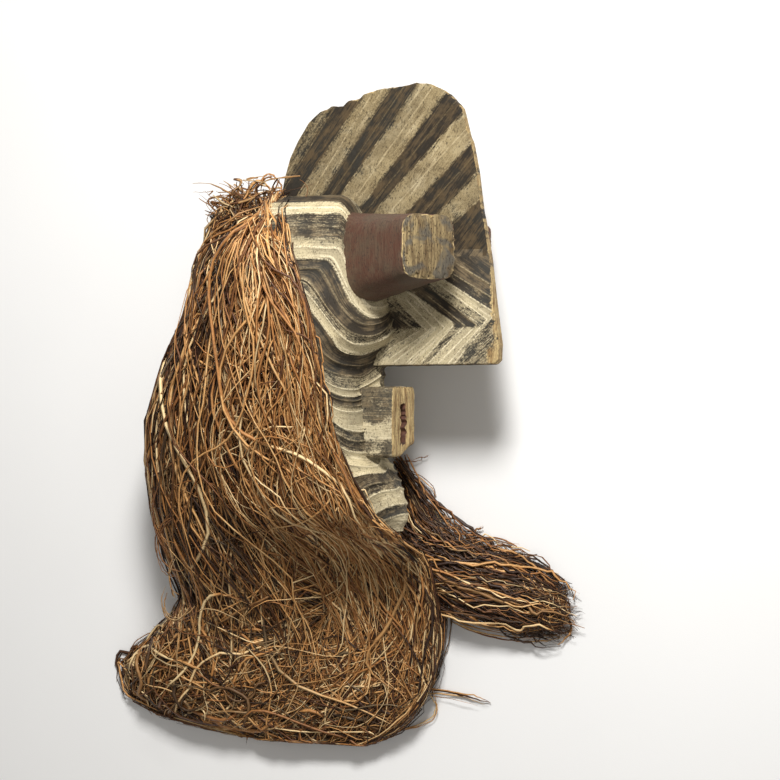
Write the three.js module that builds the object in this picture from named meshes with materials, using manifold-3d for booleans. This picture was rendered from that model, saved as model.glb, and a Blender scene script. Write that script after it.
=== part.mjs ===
// A carved wooden kifwebe mask with its raffia fringe, laid on its left side with the fringe spread out.
// Everything is in millimetres. The mask is drawn as it is worn: x points forward out of the face,
// y points up to the crest and z points to the mask's own right. Laid down, z is up.
import * as THREE from "three";
import { mergeVertices } from "three/addons/utils/BufferGeometryUtils.js";
import Module from "manifold-3d";

const wasm = await Module();
wasm.setup();

// Driving sizes of the carved mask
const FACE_TOP = 421; // height of the crown above the tip of the chin
const RIM_SLANT = 112; // the rim's plane is this much further forward at the chin than at the crown
const WALL = 13; // thickness of the carved wood
const RING_COUNT = 8; // rings from the rim to the middle line of the face

// The rim's outline seen from the front: half width and height, from the chin to the crown
const OUTLINE = [
  [0, 0], [16, 5], [31, 22], [47, 52], [67, 92], [90, 142], [110, 202], [121, 262],
  [124, 310], [119, 352], [102, 387], [76, 407], [42, 418], [0, FACE_TOP],
];
// The middle line of the face seen from the side: height and depth, with the beard jutting below the mouth
const SPINE = [
  [12, 150], [30, 161], [54, 156], [78, 146], [94, 133], [106, 121], [150, 118], [186, 113], [212, 114],
  [228, 127], [246, 145], [268, 147], [290, 140], [352, 128],
];
// The face's cross-section is rounder at the chin and squarer at the brow, changing from this height up
const FACE_SQUARENESS = { chin: 2.5, brow: 4, from: 300 };

// The carved bands run from the rim round under the eye, dip, and rise a little again to the middle line. A
// row has the height where a band leaves the rim, its lowest height, the height where it meets the middle
// line, and how far across the cheek it starts and ends to fall
const BAND_PATHS = [
  [0, 12, 12, 0.1, 0.85], [12, 36, 36, 0.1, 0.85], [38, 60, 62, 0.1, 0.8], [70, 82, 86, 0.1, 0.75],
  [105, 96, 104, 0.1, 0.66], [130, 116, 126, 0.1, 0.62], [150, 135, 142, 0.12, 0.6],
  [176, 158, 168, 0.14, 0.56], [200, 176, 188, 0.12, 0.54], [222, 190, 205, 0.12, 0.55],
  [240, 202, 216, 0.12, 0.57], [256, 211, 224, 0.15, 0.58], [280, 224, 233, 0.18, 0.6],
  [295, 236, 245, 0.22, 0.6], [311, 249, 258, 0.3, 0.62], [327, 264, 273, 0.38, 0.64],
  [342, 276, 284, 0.44, 0.66], [362, 292, 296, 0.5, 0.68], [385, 318, 318, 0.5, 0.75],
  [FACE_TOP, 352, 352, 0.45, 0.85],
];
const BAND_RISE_BEND = 1.6; // from where a band is lowest it rises slowly at first, by this power
const KEEL = { depth: 12, half: 30, low: [150, 178], high: [214, 226] }; // between the mouth and the nose
const BAND_COUNT = 26; // bands between the crown and the chin
const BAND_PHASES = [0, 0.3, 0.7]; // where a groove is deepest, and the two edges of the ridge beside it
const GROOVE_DEPTH = 2.4;

// The hollow behind the face is plain
const HOLLOW_LINES = 24; // lines down each side of it
const HOLLOW_LOWEST = 30; // no line of it starts lower than this on the rim
const HOLLOW_CLOSES = 4; // the point it closes to at the chin lies this far below its lowest line
const HOLLOW_REACH = 30; // how far past the rim its cut goes

// The crest and nose are one upright plate: depth and height of its outline, from the crown to the nose
const CREST = [
  [20, 400], [0, 420], [5, 444], [12, 468], [22, 488], [36, 510], [50, 522], [60, 525], [66, 529], [80, 528],
  [86, 534], [101, 536], [106, 541], [130, 547], [150, 548], [172, 552], [190, 550], [207, 542], [220, 531],
  [230, 519], [235, 498], [238, 486], [241, 480], [244, 466], [248, 444], [254, 396], [259, 372], [264, 340],
  [269, 294], [273, 262], [276, 240], [275, 221], [270, 216], [100, 214], [90, 260], [90, 360],
];
const CREST_HALF_BACK = 13; // half thickness of the plate where it leaves the face
const CREST_THINS = 0.026; // and what it loses for each millimetre forward
const CREST_SPREADS = 0.012; // and gains for each millimetre down from the top
const CREST_TOP = 552;
const CREST_ROOM = { front: 100, low: 395 }; // the part of the plate that the raffia leaves room for

// The lines cut into the plate's faces: a fan up the crest, and chevrons on the nose
const CREST_LINE = 2.2; // size of the square bar that cuts a line
const FAN_LINES = 8;
const FAN_FOOT = { depth: 18, apart: 27, height: 432, falls: 4 };
const FAN_HEAD = { depth: 66, apart: 25, widens: 0.9, height: 516, arches: 12, bends: 0.42 };
const CHEVRONS = { count: 5, depth: 262, apart: 17, height: 268, upperArm: 62, lowerArm: 44 };

// The projecting eyes: the middle of the root and of the cut end
const EYE_ROOT = new THREE.Vector3(91, 338, 36);
const EYE_END = new THREE.Vector3(224, 350, 105);
const EYE_ROOT_HALF = [31, 54]; // half width and half height
const EYE_END_HALF = [40, 37];
const EYE_SPLAY = THREE.MathUtils.degToRad(30); // how far the cut end faces outwards
const EYE_SWELL = 0.12; // how much fuller the root is than a straight taper
const EYE_SQUARENESS = [2.2, 4.5]; // at the root and at the cut end
const EYE_RINGS = 4;
const EYE_SIDES = 16;
const EYE_FLAT = 138; // the left eye's corner is worn flat this far from the middle, where the mask lies

// The mouth is a block with a slot right through it. It is a little shorter at the front, its far side
// stands further forward, and the far side's lower corner is broken off
const MOUTH = { low: 106, high: 190, front: 153, back: 100, half: 33 };
const MOUTH_SHORTENS = 0.97;
const MOUTH_ASKEW = 4;
const MOUTH_BREAK = 14;
const SLOT = { low: 124, high: 172, half: 9.5, from: 60, to: 173 };

// The holes along the rim through which the raffia is laced
const HOLE_COUNT = 7; // on each side
const HOLES_FROM = 0.16; // the lowest hole, as a share of the way from the chin to the crown
const HOLES_TO = 0.93;
const HOLE_RADIUS = 2.8;
const HOLE_SETBACK = 14;
const HOLE_LENGTH = 70;
const HOLE_SIDES = 5;
const HOLES_FACE = { height: 210, lean: 0.6 }; // they point away from a place at this height inside the mask

// The raffia lies on the plane that the worn eye lies on. Across the fringe, at each height along the mask:
// where its back and its front lie, and how high it piles in the middle and at the front
const FLOOR = -EYE_FLAT;
const BELOW_FLOOR = new THREE.Box3(
  new THREE.Vector3(-50, -50, FLOOR - 100),
  new THREE.Vector3(350, 650, FLOOR),
);
const ROOM = 4; // what the raffia's solids leave free round the wood
const ROOM_LINES = 52;
const FRINGE = [
  { up: -254, back: -95, front: 52, pile: 22, lip: 16 },
  { up: -240, back: -205, front: 86, pile: 38, lip: 26 },
  { up: -212, back: -268, front: 118, pile: 46, lip: 32 },
  { up: -172, back: -278, front: 146, pile: 52, lip: 36 },
  { up: -126, back: -228, front: 156, pile: 64, lip: 42 },
  { up: -80, back: -180, front: 158, pile: 92, lip: 52 },
  { up: -30, back: -203, front: 157, pile: 128, lip: 78 },
  { up: 2, back: -210, front: 153, pile: 146, lip: 118 },
  { up: 20, back: -212, front: 150, pile: 156, lip: 158 },
  { up: 42, back: -212, front: 125, pile: 168, lip: 188 },
  { up: 90, back: -212, front: 103, pile: 186, lip: 210 },
  { up: 150, back: -205, front: 92, pile: 202, lip: 234 },
  { up: 234, back: -165, front: 87, pile: 218, lip: 256 },
  { up: 282, back: -135, front: 77, pile: 226, lip: 263 },
  { up: 342, back: -115, front: 55, pile: 226, lip: 264 },
  { up: 400, back: -85, front: 32, pile: 206, lip: 226 },
  { up: 420, back: -62, front: 14, pile: 172, lip: 186 },
];
const THIN_EDGE = 5; // how thick the pile still is along its back
const LOCKS = 12; // locks side by side across the fringe
const LOCK_RELIEF = 0.045; // how far a lock stands out, as a share of the pile
const LOCK_SPREAD = 120; // how much a lock's relief also pushes the pile's back edge outwards
const LOCKS_CROWD = 0.8; // below 1, the locks lie closer together towards the mask
const PILE_ROUNDNESS = 2.4;
const PILE_AT = 0.45; // how far across the fringe from its back the pile is full
const PILE_FALLS = [0.2, 0.62]; // how far across from its front it starts and ends falling off the rim
const CROWN_TUFT = { middle: [-30, 406, 36], radii: [44, 36, 42], sides: [12, 8] };
// The hank from the mask's left side, which lies out past the chin: how far along it goes, its two edges
// and its thickness
const HANK_END = 328;
const HANK_TUCK = 25; // how far it starts inside the fringe, which then cuts it off
const RAFFIA_GAP = 1;
const HANK = [
  { along: 0, top: 86, bottom: -110, thick: 50 },
  { along: 0.15, top: 56, bottom: -116, thick: 54 },
  { along: 0.35, top: 14, bottom: -122, thick: 54 },
  { along: 0.6, top: -2, bottom: -124, thick: 48 },
  { along: 0.85, top: -52, bottom: -118, thick: 36 },
  { along: 1, top: -84, bottom: -110, thick: 14 },
];
const HANK_LOCKS = 5;
const HANK_EDGES = [0.06, 0.94]; // the part of a half wave that its cross-section follows
const HANK_FLATNESS = 0.5; // below 1, the top is flatter than that wave

const FINEST = 0.01;
const { lerp, smoothstep } = THREE.MathUtils;

// The value of a column at x along a list of rows, whose first column, x, rises
function along(rows, x, column = 1) {
  const last = rows.length - 1;
  if (x <= rows[0][0]) return rows[0][column];
  for (let i = 0; i < last; i++) {
    const [here, next] = [rows[i], rows[i + 1]];
    if (x <= next[0]) return lerp(here[column], next[column], (x - here[0]) / (next[0] - here[0]));
  }
  return rows[last][column];
}

// A closed geometry as a solid that can be joined and cut
function solid(geometry) {
  const bare = geometry.clone();
  bare.deleteAttribute("normal");
  bare.deleteAttribute("uv");
  const merged = mergeVertices(bare, 1e-3);
  const index = merged.index.array;
  const faces = new Map();
  for (let i = 0; i < index.length; i += 3) {
    const face = [index[i], index[i + 1], index[i + 2]];
    if (new Set(face).size < 3) continue;
    const key = face.toSorted((a, b) => a - b).join();
    if (faces.has(key)) faces.delete(key); // two faces back to back are a fin with nothing in it
    else faces.set(key, face);
  }
  const corners = [...faces.values()].flat();
  const mesh = new wasm.Mesh({
    numProp: 3,
    vertProperties: new Float32Array(merged.attributes.position.array),
    triVerts: new Uint32Array(corners),
  });
  return new wasm.Manifold(mesh);
}

// And back again
function geometryOf(body) {
  const mesh = body.getMesh();
  const geometry = new THREE.BufferGeometry();
  geometry.setAttribute("position", new THREE.BufferAttribute(new Float32Array(mesh.vertProperties), 3));
  geometry.setIndex(new THREE.BufferAttribute(new Uint32Array(mesh.triVerts), 1));
  geometry.computeVertexNormals();
  return geometry;
}

// Rings of points joined into one closed skin, with a fan over the first ring and one over the last
function skin(rings) {
  const points = rings.flat();
  const count = rings[0].length;
  const faces = [];
  for (let r = 0; r + 1 < rings.length; r++) {
    for (let i = 0; i < count; i++) {
      const a = r * count + i;
      const b = r * count + ((i + 1) % count);
      faces.push(a, b + count, b, a, a + count, b + count);
    }
  }
  for (const [ring, flip] of [[rings[0], true], [rings.at(-1), false]]) {
    const middle = ring.reduce((sum, p) => sum.add(p), new THREE.Vector3()).divideScalar(count);
    const start = points.indexOf(ring[0]);
    points.push(middle);
    for (let i = 0; i < count; i++) {
      const next = start + ((i + 1) % count);
      if (flip) faces.push(start + i, next, points.length - 1);
      else faces.push(next, start + i, points.length - 1);
    }
  }
  const geometry = new THREE.BufferGeometry().setFromPoints(points);
  geometry.setIndex(faces);
  return geometry;
}

const rimDepth = (height) => RIM_SLANT * (1 - height / FACE_TOP);

// The rim's outline on the mask's right, as a curve from the chin to the crown
const rimCurve = new THREE.CatmullRomCurve3(
  OUTLINE.map(([width, height]) => new THREE.Vector3(0, height, width)),
  false,
  "centripetal",
);

// One point of a band: how far round from the rim, at 0, to the middle line, at 1. It lies behind the front
// of the face by the wall, and under the surface there by the inset
function facePoint(edge, turned, wall, inset) {
  const turn = (turned * Math.PI) / 2;
  const { chin, brow, from: browFrom } = FACE_SQUARENESS;
  const squareness = lerp(chin, brow, smoothstep(edge.y, browFrom, FACE_TOP));
  const reach = (Math.cos(turn) ** squareness + Math.sin(turn) ** squareness) ** (-1 / squareness);
  const side = reach * Math.cos(turn);
  const front = reach * Math.sin(turn);
  const [lowest, spineHeight, from, to] = [1, 2, 3, 4].map((column) => along(BAND_PATHS, edge.y, column));
  const fallen = lerp(edge.y, lowest, smoothstep(turned, from, to));
  const risen = Math.max((turned - to) / (1 - to), 0) ** BAND_RISE_BEND;
  const height = fallen + (spineHeight - lowest) * risen;
  const keel = KEEL.depth * smoothstep(height, ...KEEL.low) * (1 - smoothstep(height, ...KEEL.high));
  const surface = lerp(rimDepth(edge.y), along(SPINE, height) - wall, front);
  const depth = surface + keel * Math.max(1 - (edge.z * side) / KEEL.half, 0);
  const inwards = new THREE.Vector2(front ** (squareness - 1), side ** (squareness - 1)).normalize();
  const width = Math.max(edge.z * side - inset * inwards.y, 0);
  return new THREE.Vector3(depth - inset * inwards.x, height, turned === 1 ? 0 : width);
}

// The form of the face between the given edge points, with each one's inset, reaching back past the rim
function faceForm(edges, insets, { wall = 0, reachBack = 0 }) {
  const whole = [...edges, ...edges.slice(1, -1).reverse()];
  const depths = [...insets, ...insets.slice(1, -1).reverse()];
  const sides = whole.map((_, i) => (i < edges.length ? 1 : -1));
  const rings = [];
  if (reachBack) {
    rings.push(whole.map((p, i) => new THREE.Vector3(rimDepth(p.y) - reachBack, p.y, sides[i] * p.z)));
  }
  for (let ring = 0; ring <= RING_COUNT; ring++) {
    rings.push(whole.map((edge, i) => {
      const inset = ring === 0 ? Math.min(depths[i], 0) : depths[i];
      const point = facePoint(edge, ring / RING_COUNT, wall, inset);
      point.z *= sides[i];
      return point;
    }));
  }
  return solid(skin(rings));
}

// The outside of the face, with a groove between each ridge and the next
function faceOutside() {
  const edges = [];
  const insets = [];
  for (let band = 0; band < BAND_COUNT; band++) {
    for (const phase of BAND_PHASES) {
      edges.push(rimCurve.getPointAt((band + phase) / BAND_COUNT));
      insets.push(phase === 0 ? GROOVE_DEPTH : 0);
    }
  }
  edges.push(rimCurve.getPointAt(1));
  insets.push(0);
  return faceForm(edges, insets, {});
}

// The whole form a little larger all round: the room that the raffia leaves for the mask
function faceRoom() {
  const edges = Array.from({ length: ROOM_LINES + 1 }, (_, i) => rimCurve.getPointAt(i / ROOM_LINES));
  const face = faceForm(edges, edges.map(() => -ROOM), { reachBack: ROOM });
  const { front, low } = CREST_ROOM;
  return face.add(solid(block(-ROOM, front, low, CREST_TOP, CREST_HALF_BACK + ROOM * 2)));
}

// The hollow behind the face, a wall's thickness inside it all round and open at the back
function faceHollow() {
  const edges = [];
  for (let i = 0; i <= HOLLOW_LINES; i++) {
    const at = i / HOLLOW_LINES;
    const run = rimCurve.getTangentAt(at);
    const edge = rimCurve.getPointAt(at).add(new THREE.Vector3(0, run.z * WALL, -run.y * WALL));
    if (edge.z > WALL / 2 && edge.y > HOLLOW_LOWEST) edges.push(edge);
  }
  const bottom = new THREE.Vector3(0, edges[0].y - HOLLOW_CLOSES, 0);
  const top = new THREE.Vector3(0, FACE_TOP - WALL, 0);
  const all = [bottom, ...edges.filter((edge) => edge.y < top.y), top];
  return faceForm(all, all.map(() => 0), { wall: WALL, reachBack: HOLLOW_REACH });
}

// Half the plate's thickness at a point of its outline
function crestHalf(depth, height) {
  return CREST_HALF_BACK - CREST_THINS * depth + CREST_SPREADS * (CREST_TOP - height);
}

function crestForm() {
  const shape = new THREE.Shape(CREST.map(([depth, height]) => new THREE.Vector2(depth, height)));
  const geometry = new THREE.ExtrudeGeometry(shape, { depth: 2, bevelEnabled: false });
  const at = geometry.attributes.position;
  for (let i = 0; i < at.count; i++) {
    at.setZ(i, (at.getZ(i) - 1) * crestHalf(at.getX(i), at.getY(i)));
  }
  return solid(geometry);
}

// A thin square bar from one point of the plate's face to another: it cuts a V-shaped line
function crestLine([depthA, heightA], [depthB, heightB], side) {
  const a = new THREE.Vector3(depthA, heightA, side * crestHalf(depthA, heightA));
  const b = new THREE.Vector3(depthB, heightB, side * crestHalf(depthB, heightB));
  const bar = new THREE.BoxGeometry(CREST_LINE, CREST_LINE, a.distanceTo(b));
  bar.rotateZ(Math.PI / 4);
  bar.applyQuaternion(new THREE.Quaternion().setFromUnitVectors(
    new THREE.Vector3(0, 0, 1),
    b.clone().sub(a).normalize(),
  ));
  bar.translate(...a.add(b).multiplyScalar(0.5).toArray());
  return solid(bar);
}

// The fan's lines part further and lean further the nearer they are to the front
function crestLines(side) {
  const lines = [];
  for (let i = 0; i < FAN_LINES; i++) {
    const foot = [FAN_FOOT.depth + i * FAN_FOOT.apart, FAN_FOOT.height - i * FAN_FOOT.falls];
    const head = [
      FAN_HEAD.depth + i * FAN_HEAD.apart + i * i * FAN_HEAD.widens,
      FAN_HEAD.height + FAN_HEAD.arches * Math.sin(i * FAN_HEAD.bends),
    ];
    lines.push([foot, head]);
  }
  for (let i = 0; i < CHEVRONS.count; i++) {
    const [depth, height] = [CHEVRONS.depth - i * CHEVRONS.apart, CHEVRONS.height];
    lines.push([[depth, height], [depth - CHEVRONS.upperArm, height + CHEVRONS.upperArm]]);
    lines.push([[depth, height], [depth - CHEVRONS.lowerArm, height - CHEVRONS.lowerArm]]);
  }
  return lines.map(([a, b]) => crestLine(a, b, side));
}

// One projecting eye: an oval root inside the face that runs out to a squarer cut end
function eyeForm(side) {
  const rings = [];
  const outward = new THREE.Vector3(-Math.sin(EYE_SPLAY), 0, side * Math.cos(EYE_SPLAY));
  for (let r = 0; r <= EYE_RINGS; r++) {
    const t = r / EYE_RINGS;
    const swell = (1 - t) ** 2 * EYE_SWELL;
    const middle = EYE_ROOT.clone().lerp(EYE_END, t);
    middle.z *= side;
    const squareness = lerp(...EYE_SQUARENESS, t);
    const ring = [];
    for (let i = 0; i < EYE_SIDES; i++) {
      const turn = side * (i / EYE_SIDES) * Math.PI * 2;
      const [c, s] = [Math.cos(turn), Math.sin(turn)];
      const reach = (Math.abs(c) ** squareness + Math.abs(s) ** squareness) ** (-1 / squareness);
      const across = reach * c * lerp(EYE_ROOT_HALF[0], EYE_END_HALF[0], t) * (1 + swell);
      const up = reach * s * lerp(EYE_ROOT_HALF[1], EYE_END_HALF[1], t) * (1 + swell);
      ring.push(middle.clone().addScaledVector(outward, across).add(new THREE.Vector3(0, up, 0)));
    }
    rings.push(ring);
  }
  return solid(skin(rings));
}

function block(fromX, toX, low, high, half) {
  const box = new THREE.BoxGeometry(toX - fromX, high - low, half * 2);
  box.translate((fromX + toX) / 2, (low + high) / 2, 0);
  return box;
}

function mouthForm() {
  const box = block(MOUTH.back, MOUTH.front, MOUTH.low, MOUTH.high, MOUTH.half);
  const at = box.attributes.position;
  const middle = (MOUTH.low + MOUTH.high) / 2;
  for (let i = 0; i < at.count; i++) {
    if (at.getX(i) < MOUTH.front - 1) continue;
    at.setY(i, lerp(middle, at.getY(i), MOUTH_SHORTENS));
    if (at.getZ(i) > 0) continue;
    at.setX(i, at.getX(i) + MOUTH_ASKEW);
    if (at.getY(i) < middle) at.setY(i, at.getY(i) + MOUTH_BREAK);
  }
  return solid(box);
}

// The holes near the rim, square to it
function lacingHoles() {
  const holes = [];
  for (const side of [1, -1]) {
    for (let i = 0; i < HOLE_COUNT; i++) {
      const at = rimCurve.getPointAt(lerp(HOLES_FROM, HOLES_TO, i / (HOLE_COUNT - 1)));
      at.z *= side;
      const hole = new THREE.CylinderGeometry(HOLE_RADIUS, HOLE_RADIUS, HOLE_LENGTH, HOLE_SIDES);
      const out = new THREE.Vector3(0, (at.y - HOLES_FACE.height) * HOLES_FACE.lean, at.z).normalize();
      hole.applyQuaternion(new THREE.Quaternion().setFromUnitVectors(new THREE.Vector3(0, 1, 0), out));
      hole.translate(rimDepth(at.y) + HOLE_SETBACK, at.y, at.z);
      holes.push(solid(hole));
    }
  }
  return holes;
}

const join = (parts) => parts.reduce((sum, part) => sum.add(part));

// The main body of a solid, without crumbs and sealed bubbles
const largest = (body) => body.decompose().sort((a, b) => b.volume() - a.volume())[0];

// The same body with its points on a fine grid, so that slivers left by the cuts close up
function settled(body) {
  const geometry = geometryOf(largest(body));
  const at = geometry.attributes.position.array;
  for (let i = 0; i < at.length; i++) at[i] = Math.round(at[i] / FINEST) * FINEST;
  return largest(solid(geometry));
}

function maskSolid() {
  let body = faceOutside();
  const crest = crestForm().subtract(join([...crestLines(1), ...crestLines(-1)]));
  body = body.add(crest).add(eyeForm(1)).add(eyeForm(-1)).add(mouthForm());
  body = body.subtract(faceHollow());
  body = body.subtract(solid(block(SLOT.from, SLOT.to, SLOT.low, SLOT.high, SLOT.half)));
  body = body.subtract(join(lacingHoles()));
  const below = new THREE.BoxGeometry(...BELOW_FLOOR.getSize(new THREE.Vector3()));
  below.translate(...BELOW_FLOOR.getCenter(new THREE.Vector3()));
  return settled(body.subtract(solid(below)));
}

// A pile's cross-section as a ring: over the top from one edge to the other and back along the floor
function pileRing(place, height, locks) {
  const steps = locks * 2;
  const ring = [];
  for (let i = 0; i <= steps; i++) {
    const across = i / steps;
    const relief = 1 + LOCK_RELIEF * (i % 2 ? 1 : -1);
    ring.push(place(across, relief).setZ(FLOOR + height(across) * relief));
  }
  for (const across of [1, 0.75, 0.5, 0.25, 0]) ring.push(place(across, 1).setZ(FLOOR));
  return ring;
}

// The fringe's main fall: a pile of locks from the rim down to the pool of loose ends, larger by the margin
function fringePile(margin) {
  const rings = FRINGE.map(({ up, back, front, pile, lip }) => {
    const place = (across, relief) => new THREE.Vector3(
      lerp(front + margin, back - (relief - 1) * LOCK_SPREAD * across, across ** LOCKS_CROWD),
      up,
      0,
    );
    const height = (across) => {
      const rise = Math.min((1 - across) / PILE_AT, 1);
      const edge = Math.max(1 - (1 - rise) ** PILE_ROUNDNESS, 0) ** (1 / PILE_ROUNDNESS);
      return lerp(lip, pile, smoothstep(across, ...PILE_FALLS)) * edge + THIN_EDGE + margin;
    };
    return pileRing(place, height, LOCKS);
  });
  return solid(skin(rings));
}

// The main fall with the tangled tuft at the crown
function fringeForm() {
  const tuft = new THREE.SphereGeometry(1, ...CROWN_TUFT.sides);
  tuft.scale(...CROWN_TUFT.radii);
  tuft.translate(...CROWN_TUFT.middle);
  return settled(fringePile(0).add(solid(tuft)).subtract(faceRoom()));
}

const fringeFront = FRINGE.map(({ up, front }) => [up, front]);

// The hank that lies out from under the chin on the mask's left
function hankForm() {
  const rings = HANK.map(({ along: t, top, bottom, thick }) => {
    const place = (across) => {
      const up = lerp(bottom, top, across);
      return new THREE.Vector3(lerp(along(fringeFront, up) - HANK_TUCK, HANK_END, t), up, 0);
    };
    const height = (across) => thick * Math.sin(Math.PI * lerp(...HANK_EDGES, across)) ** HANK_FLATNESS;
    return pileRing(place, height, HANK_LOCKS);
  });
  return settled(solid(skin(rings)).subtract(fringePile(RAFFIA_GAP)).subtract(faceRoom()));
}

const wood = new THREE.MeshStandardMaterial({ color: 0x938a70, roughness: 0.85, metalness: 0 });
const raffia = new THREE.MeshStandardMaterial({ color: 0xa8713a, roughness: 0.7, metalness: 0 });

// The pieces as they lie, with the floor at zero and the origin under the middle of the whole
const laid = new THREE.Group();
const PIECES = [
  ["mask", maskSolid(), wood],
  ["raffia_fringe", fringeForm(), raffia],
  ["raffia_left_hank", hankForm(), raffia],
];
for (const [name, body, material] of PIECES) {
  const mesh = new THREE.Mesh(geometryOf(body), material);
  mesh.name = name;
  laid.add(mesh);
}
const middle = new THREE.Box3().setFromObject(laid).getCenter(new THREE.Vector3());
laid.position.set(-middle.x, -middle.y, -FLOOR);

const kifwebe = new THREE.Group();
kifwebe.add(laid);
export default kifwebe;
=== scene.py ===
# %% [markdown]
# A carved kifwebe mask with a long raffia fringe, laid on its left side on a pale floor.
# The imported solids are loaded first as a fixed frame. Every finished piece is built round them in metres,
# in the same place, and stands for one of them. The script then makes, in this order: the camera, the
# light, the wood's materials, the carved mask, the raffia's material and the raffia.

# %% The frame
import math

import bmesh
import bpy
import numpy as np
from mathutils import Matrix, Vector, noise


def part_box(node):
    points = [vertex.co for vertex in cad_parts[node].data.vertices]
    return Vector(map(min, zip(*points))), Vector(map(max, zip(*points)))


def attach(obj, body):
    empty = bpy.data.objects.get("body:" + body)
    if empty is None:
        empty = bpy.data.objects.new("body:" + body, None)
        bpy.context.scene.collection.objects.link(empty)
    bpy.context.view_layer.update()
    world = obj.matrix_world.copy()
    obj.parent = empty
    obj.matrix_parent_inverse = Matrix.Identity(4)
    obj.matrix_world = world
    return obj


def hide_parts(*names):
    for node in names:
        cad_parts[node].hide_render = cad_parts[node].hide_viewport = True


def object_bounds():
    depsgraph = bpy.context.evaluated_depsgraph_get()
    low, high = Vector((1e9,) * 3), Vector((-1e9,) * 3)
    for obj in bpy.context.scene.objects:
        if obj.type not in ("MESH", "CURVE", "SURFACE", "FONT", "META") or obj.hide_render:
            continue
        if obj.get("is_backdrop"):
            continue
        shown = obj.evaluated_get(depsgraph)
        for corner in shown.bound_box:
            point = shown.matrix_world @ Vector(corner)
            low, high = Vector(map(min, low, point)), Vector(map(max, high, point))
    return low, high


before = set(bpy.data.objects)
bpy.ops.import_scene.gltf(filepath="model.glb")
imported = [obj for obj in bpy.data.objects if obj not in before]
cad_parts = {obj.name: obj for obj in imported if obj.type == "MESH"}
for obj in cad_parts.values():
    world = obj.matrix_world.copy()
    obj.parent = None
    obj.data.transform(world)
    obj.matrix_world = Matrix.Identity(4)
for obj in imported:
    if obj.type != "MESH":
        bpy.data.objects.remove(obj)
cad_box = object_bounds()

MM = 0.001
mask_low, mask_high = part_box("mask")
print("mask solid from", tuple(round(v, 3) for v in mask_low), "to", tuple(round(v, 3) for v in mask_high))

# %% [markdown]
# The mask is easiest to think of as it is worn: forward out of the face, up to the crest, and out to the
# mask's own right, in millimetres from the tip of the chin. Lying down, its right side is uppermost.
# One helper turns those three numbers into a place in the frame, and one turns a place in the photograph
# into forward and up at a given distance to the right.

# %% The mask's own directions
EYE_FLAT = 138  # the left eye rests on the floor this far from the mask's middle
VIEW_TURN = math.radians(20)  # how far in front of the mask's side the camera stands
SEEN = 1.2  # millimetres to a pixel of the photograph at the mask's middle
CHIN_PIXEL = (283, 545)  # where the photograph shows the tip of the chin's plane, forward 0 and up 0
CREST_TOP = 552


def at(forward, up, right):
    return Vector((
        mask_low.x + forward * MM,
        mask_low.y + up * MM,
        mask_low.z + (right + EYE_FLAT) * MM,
    ))


def seen_at(x, y, right=0.0):
    across = (x - CHIN_PIXEL[0]) * SEEN
    return (across + right * math.sin(VIEW_TURN)) / math.cos(VIEW_TURN), (CHIN_PIXEL[1] - y) * SEEN


print("crest top at", tuple(round(v, 3) for v in at(172, CREST_TOP, 0)))

# %% [markdown]
# The photograph looks almost square at the mask's right side, from a little in front. Here the mask lies,
# so the same view comes from above: the camera hangs over it, turned so that the crest is still at the
# top of the picture. A long lens far away keeps the proportions that the photograph has.

# %% The camera
CAMERA_AWAY = 2.6
PHOTO_SIDE = 780  # pixels
PICTURE_SIDE = PHOTO_SIDE * SEEN * MM
SENSOR = 36

camera_data = bpy.data.cameras.new("camera")
camera_data.sensor_width = SENSOR
camera_data.lens = SENSOR * CAMERA_AWAY / PICTURE_SIDE
camera = bpy.data.objects.new("camera", camera_data)
towards_camera = Vector((math.sin(VIEW_TURN), 0, math.cos(VIEW_TURN)))
picture_middle = at(*seen_at(PHOTO_SIDE / 2, PHOTO_SIDE / 2), 0)
picture_right = Vector((0, 1, 0)).cross(towards_camera)
turn = Matrix((picture_right, Vector((0, 1, 0)), towards_camera)).transposed()
camera.matrix_world = Matrix.Translation(picture_middle + towards_camera * CAMERA_AWAY) @ turn.to_4x4()
bpy.context.scene.collection.objects.link(camera)
bpy.context.scene.camera = camera
print("lens", round(camera_data.lens, 1), "mm")

# %% [markdown]
# The floor is a plain pale sheet, far larger than the picture. The light is a studio's: one soft
# lamp from beyond the crest and a little in front, which leaves the undersides of the eye and nose dark as
# in the photograph, a weaker one from in front of the chin to open the shadows, and an even pale surround.

# %% Floor and light
FLOOR_HALF = 6
SURROUND = 0.28  # how bright the even surround is
LAMPS = [  # place, what it points at, size and power
    ("key_lamp", (0.60, 1.20, 1.60), (0.0, 0.05, 0.12), 0.45, 54),
    ("fill_lamp", (1.1, -0.5, 1.9), (0.0, -0.05, 0.1), 1.6, 5),
]


def new_object(name, mesh):
    made = bpy.data.objects.new(name, mesh)
    bpy.context.scene.collection.objects.link(made)
    return made


floor_mesh = bpy.data.meshes.new("floor")
bm = bmesh.new()
bmesh.ops.create_grid(bm, x_segments=1, y_segments=1, size=FLOOR_HALF)
bm.to_mesh(floor_mesh)
bm.free()
floor = new_object("floor", floor_mesh)
floor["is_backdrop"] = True

for name, place, target, size, power in LAMPS:
    lamp_data = bpy.data.lights.new(name, "AREA")
    lamp_data.size = size
    lamp_data.energy = power
    lamp = bpy.data.objects.new(name, lamp_data)
    lamp.location = place
    lamp.rotation_euler = (Vector(place) - Vector(target)).to_track_quat("Z", "Y").to_euler()
    bpy.context.scene.collection.objects.link(lamp)

world = bpy.data.worlds.new("surround")
bpy.context.scene.world = world
world.use_nodes = True
world.node_tree.nodes["Background"].inputs["Color"].default_value = (1, 0.98, 0.95, 1)
world.node_tree.nodes["Background"].inputs["Strength"].default_value = SURROUND
bpy.context.scene.view_settings.view_transform = "Standard"
print(len(LAMPS), "lamps")

# %% [markdown]
# A material is a small network of nodes. A few helpers keep the networks short to write: one adds a node
# and sets or links its inputs, and the others do arithmetic, mix colours, make noise, read marks and start
# or use a node group.

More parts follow.
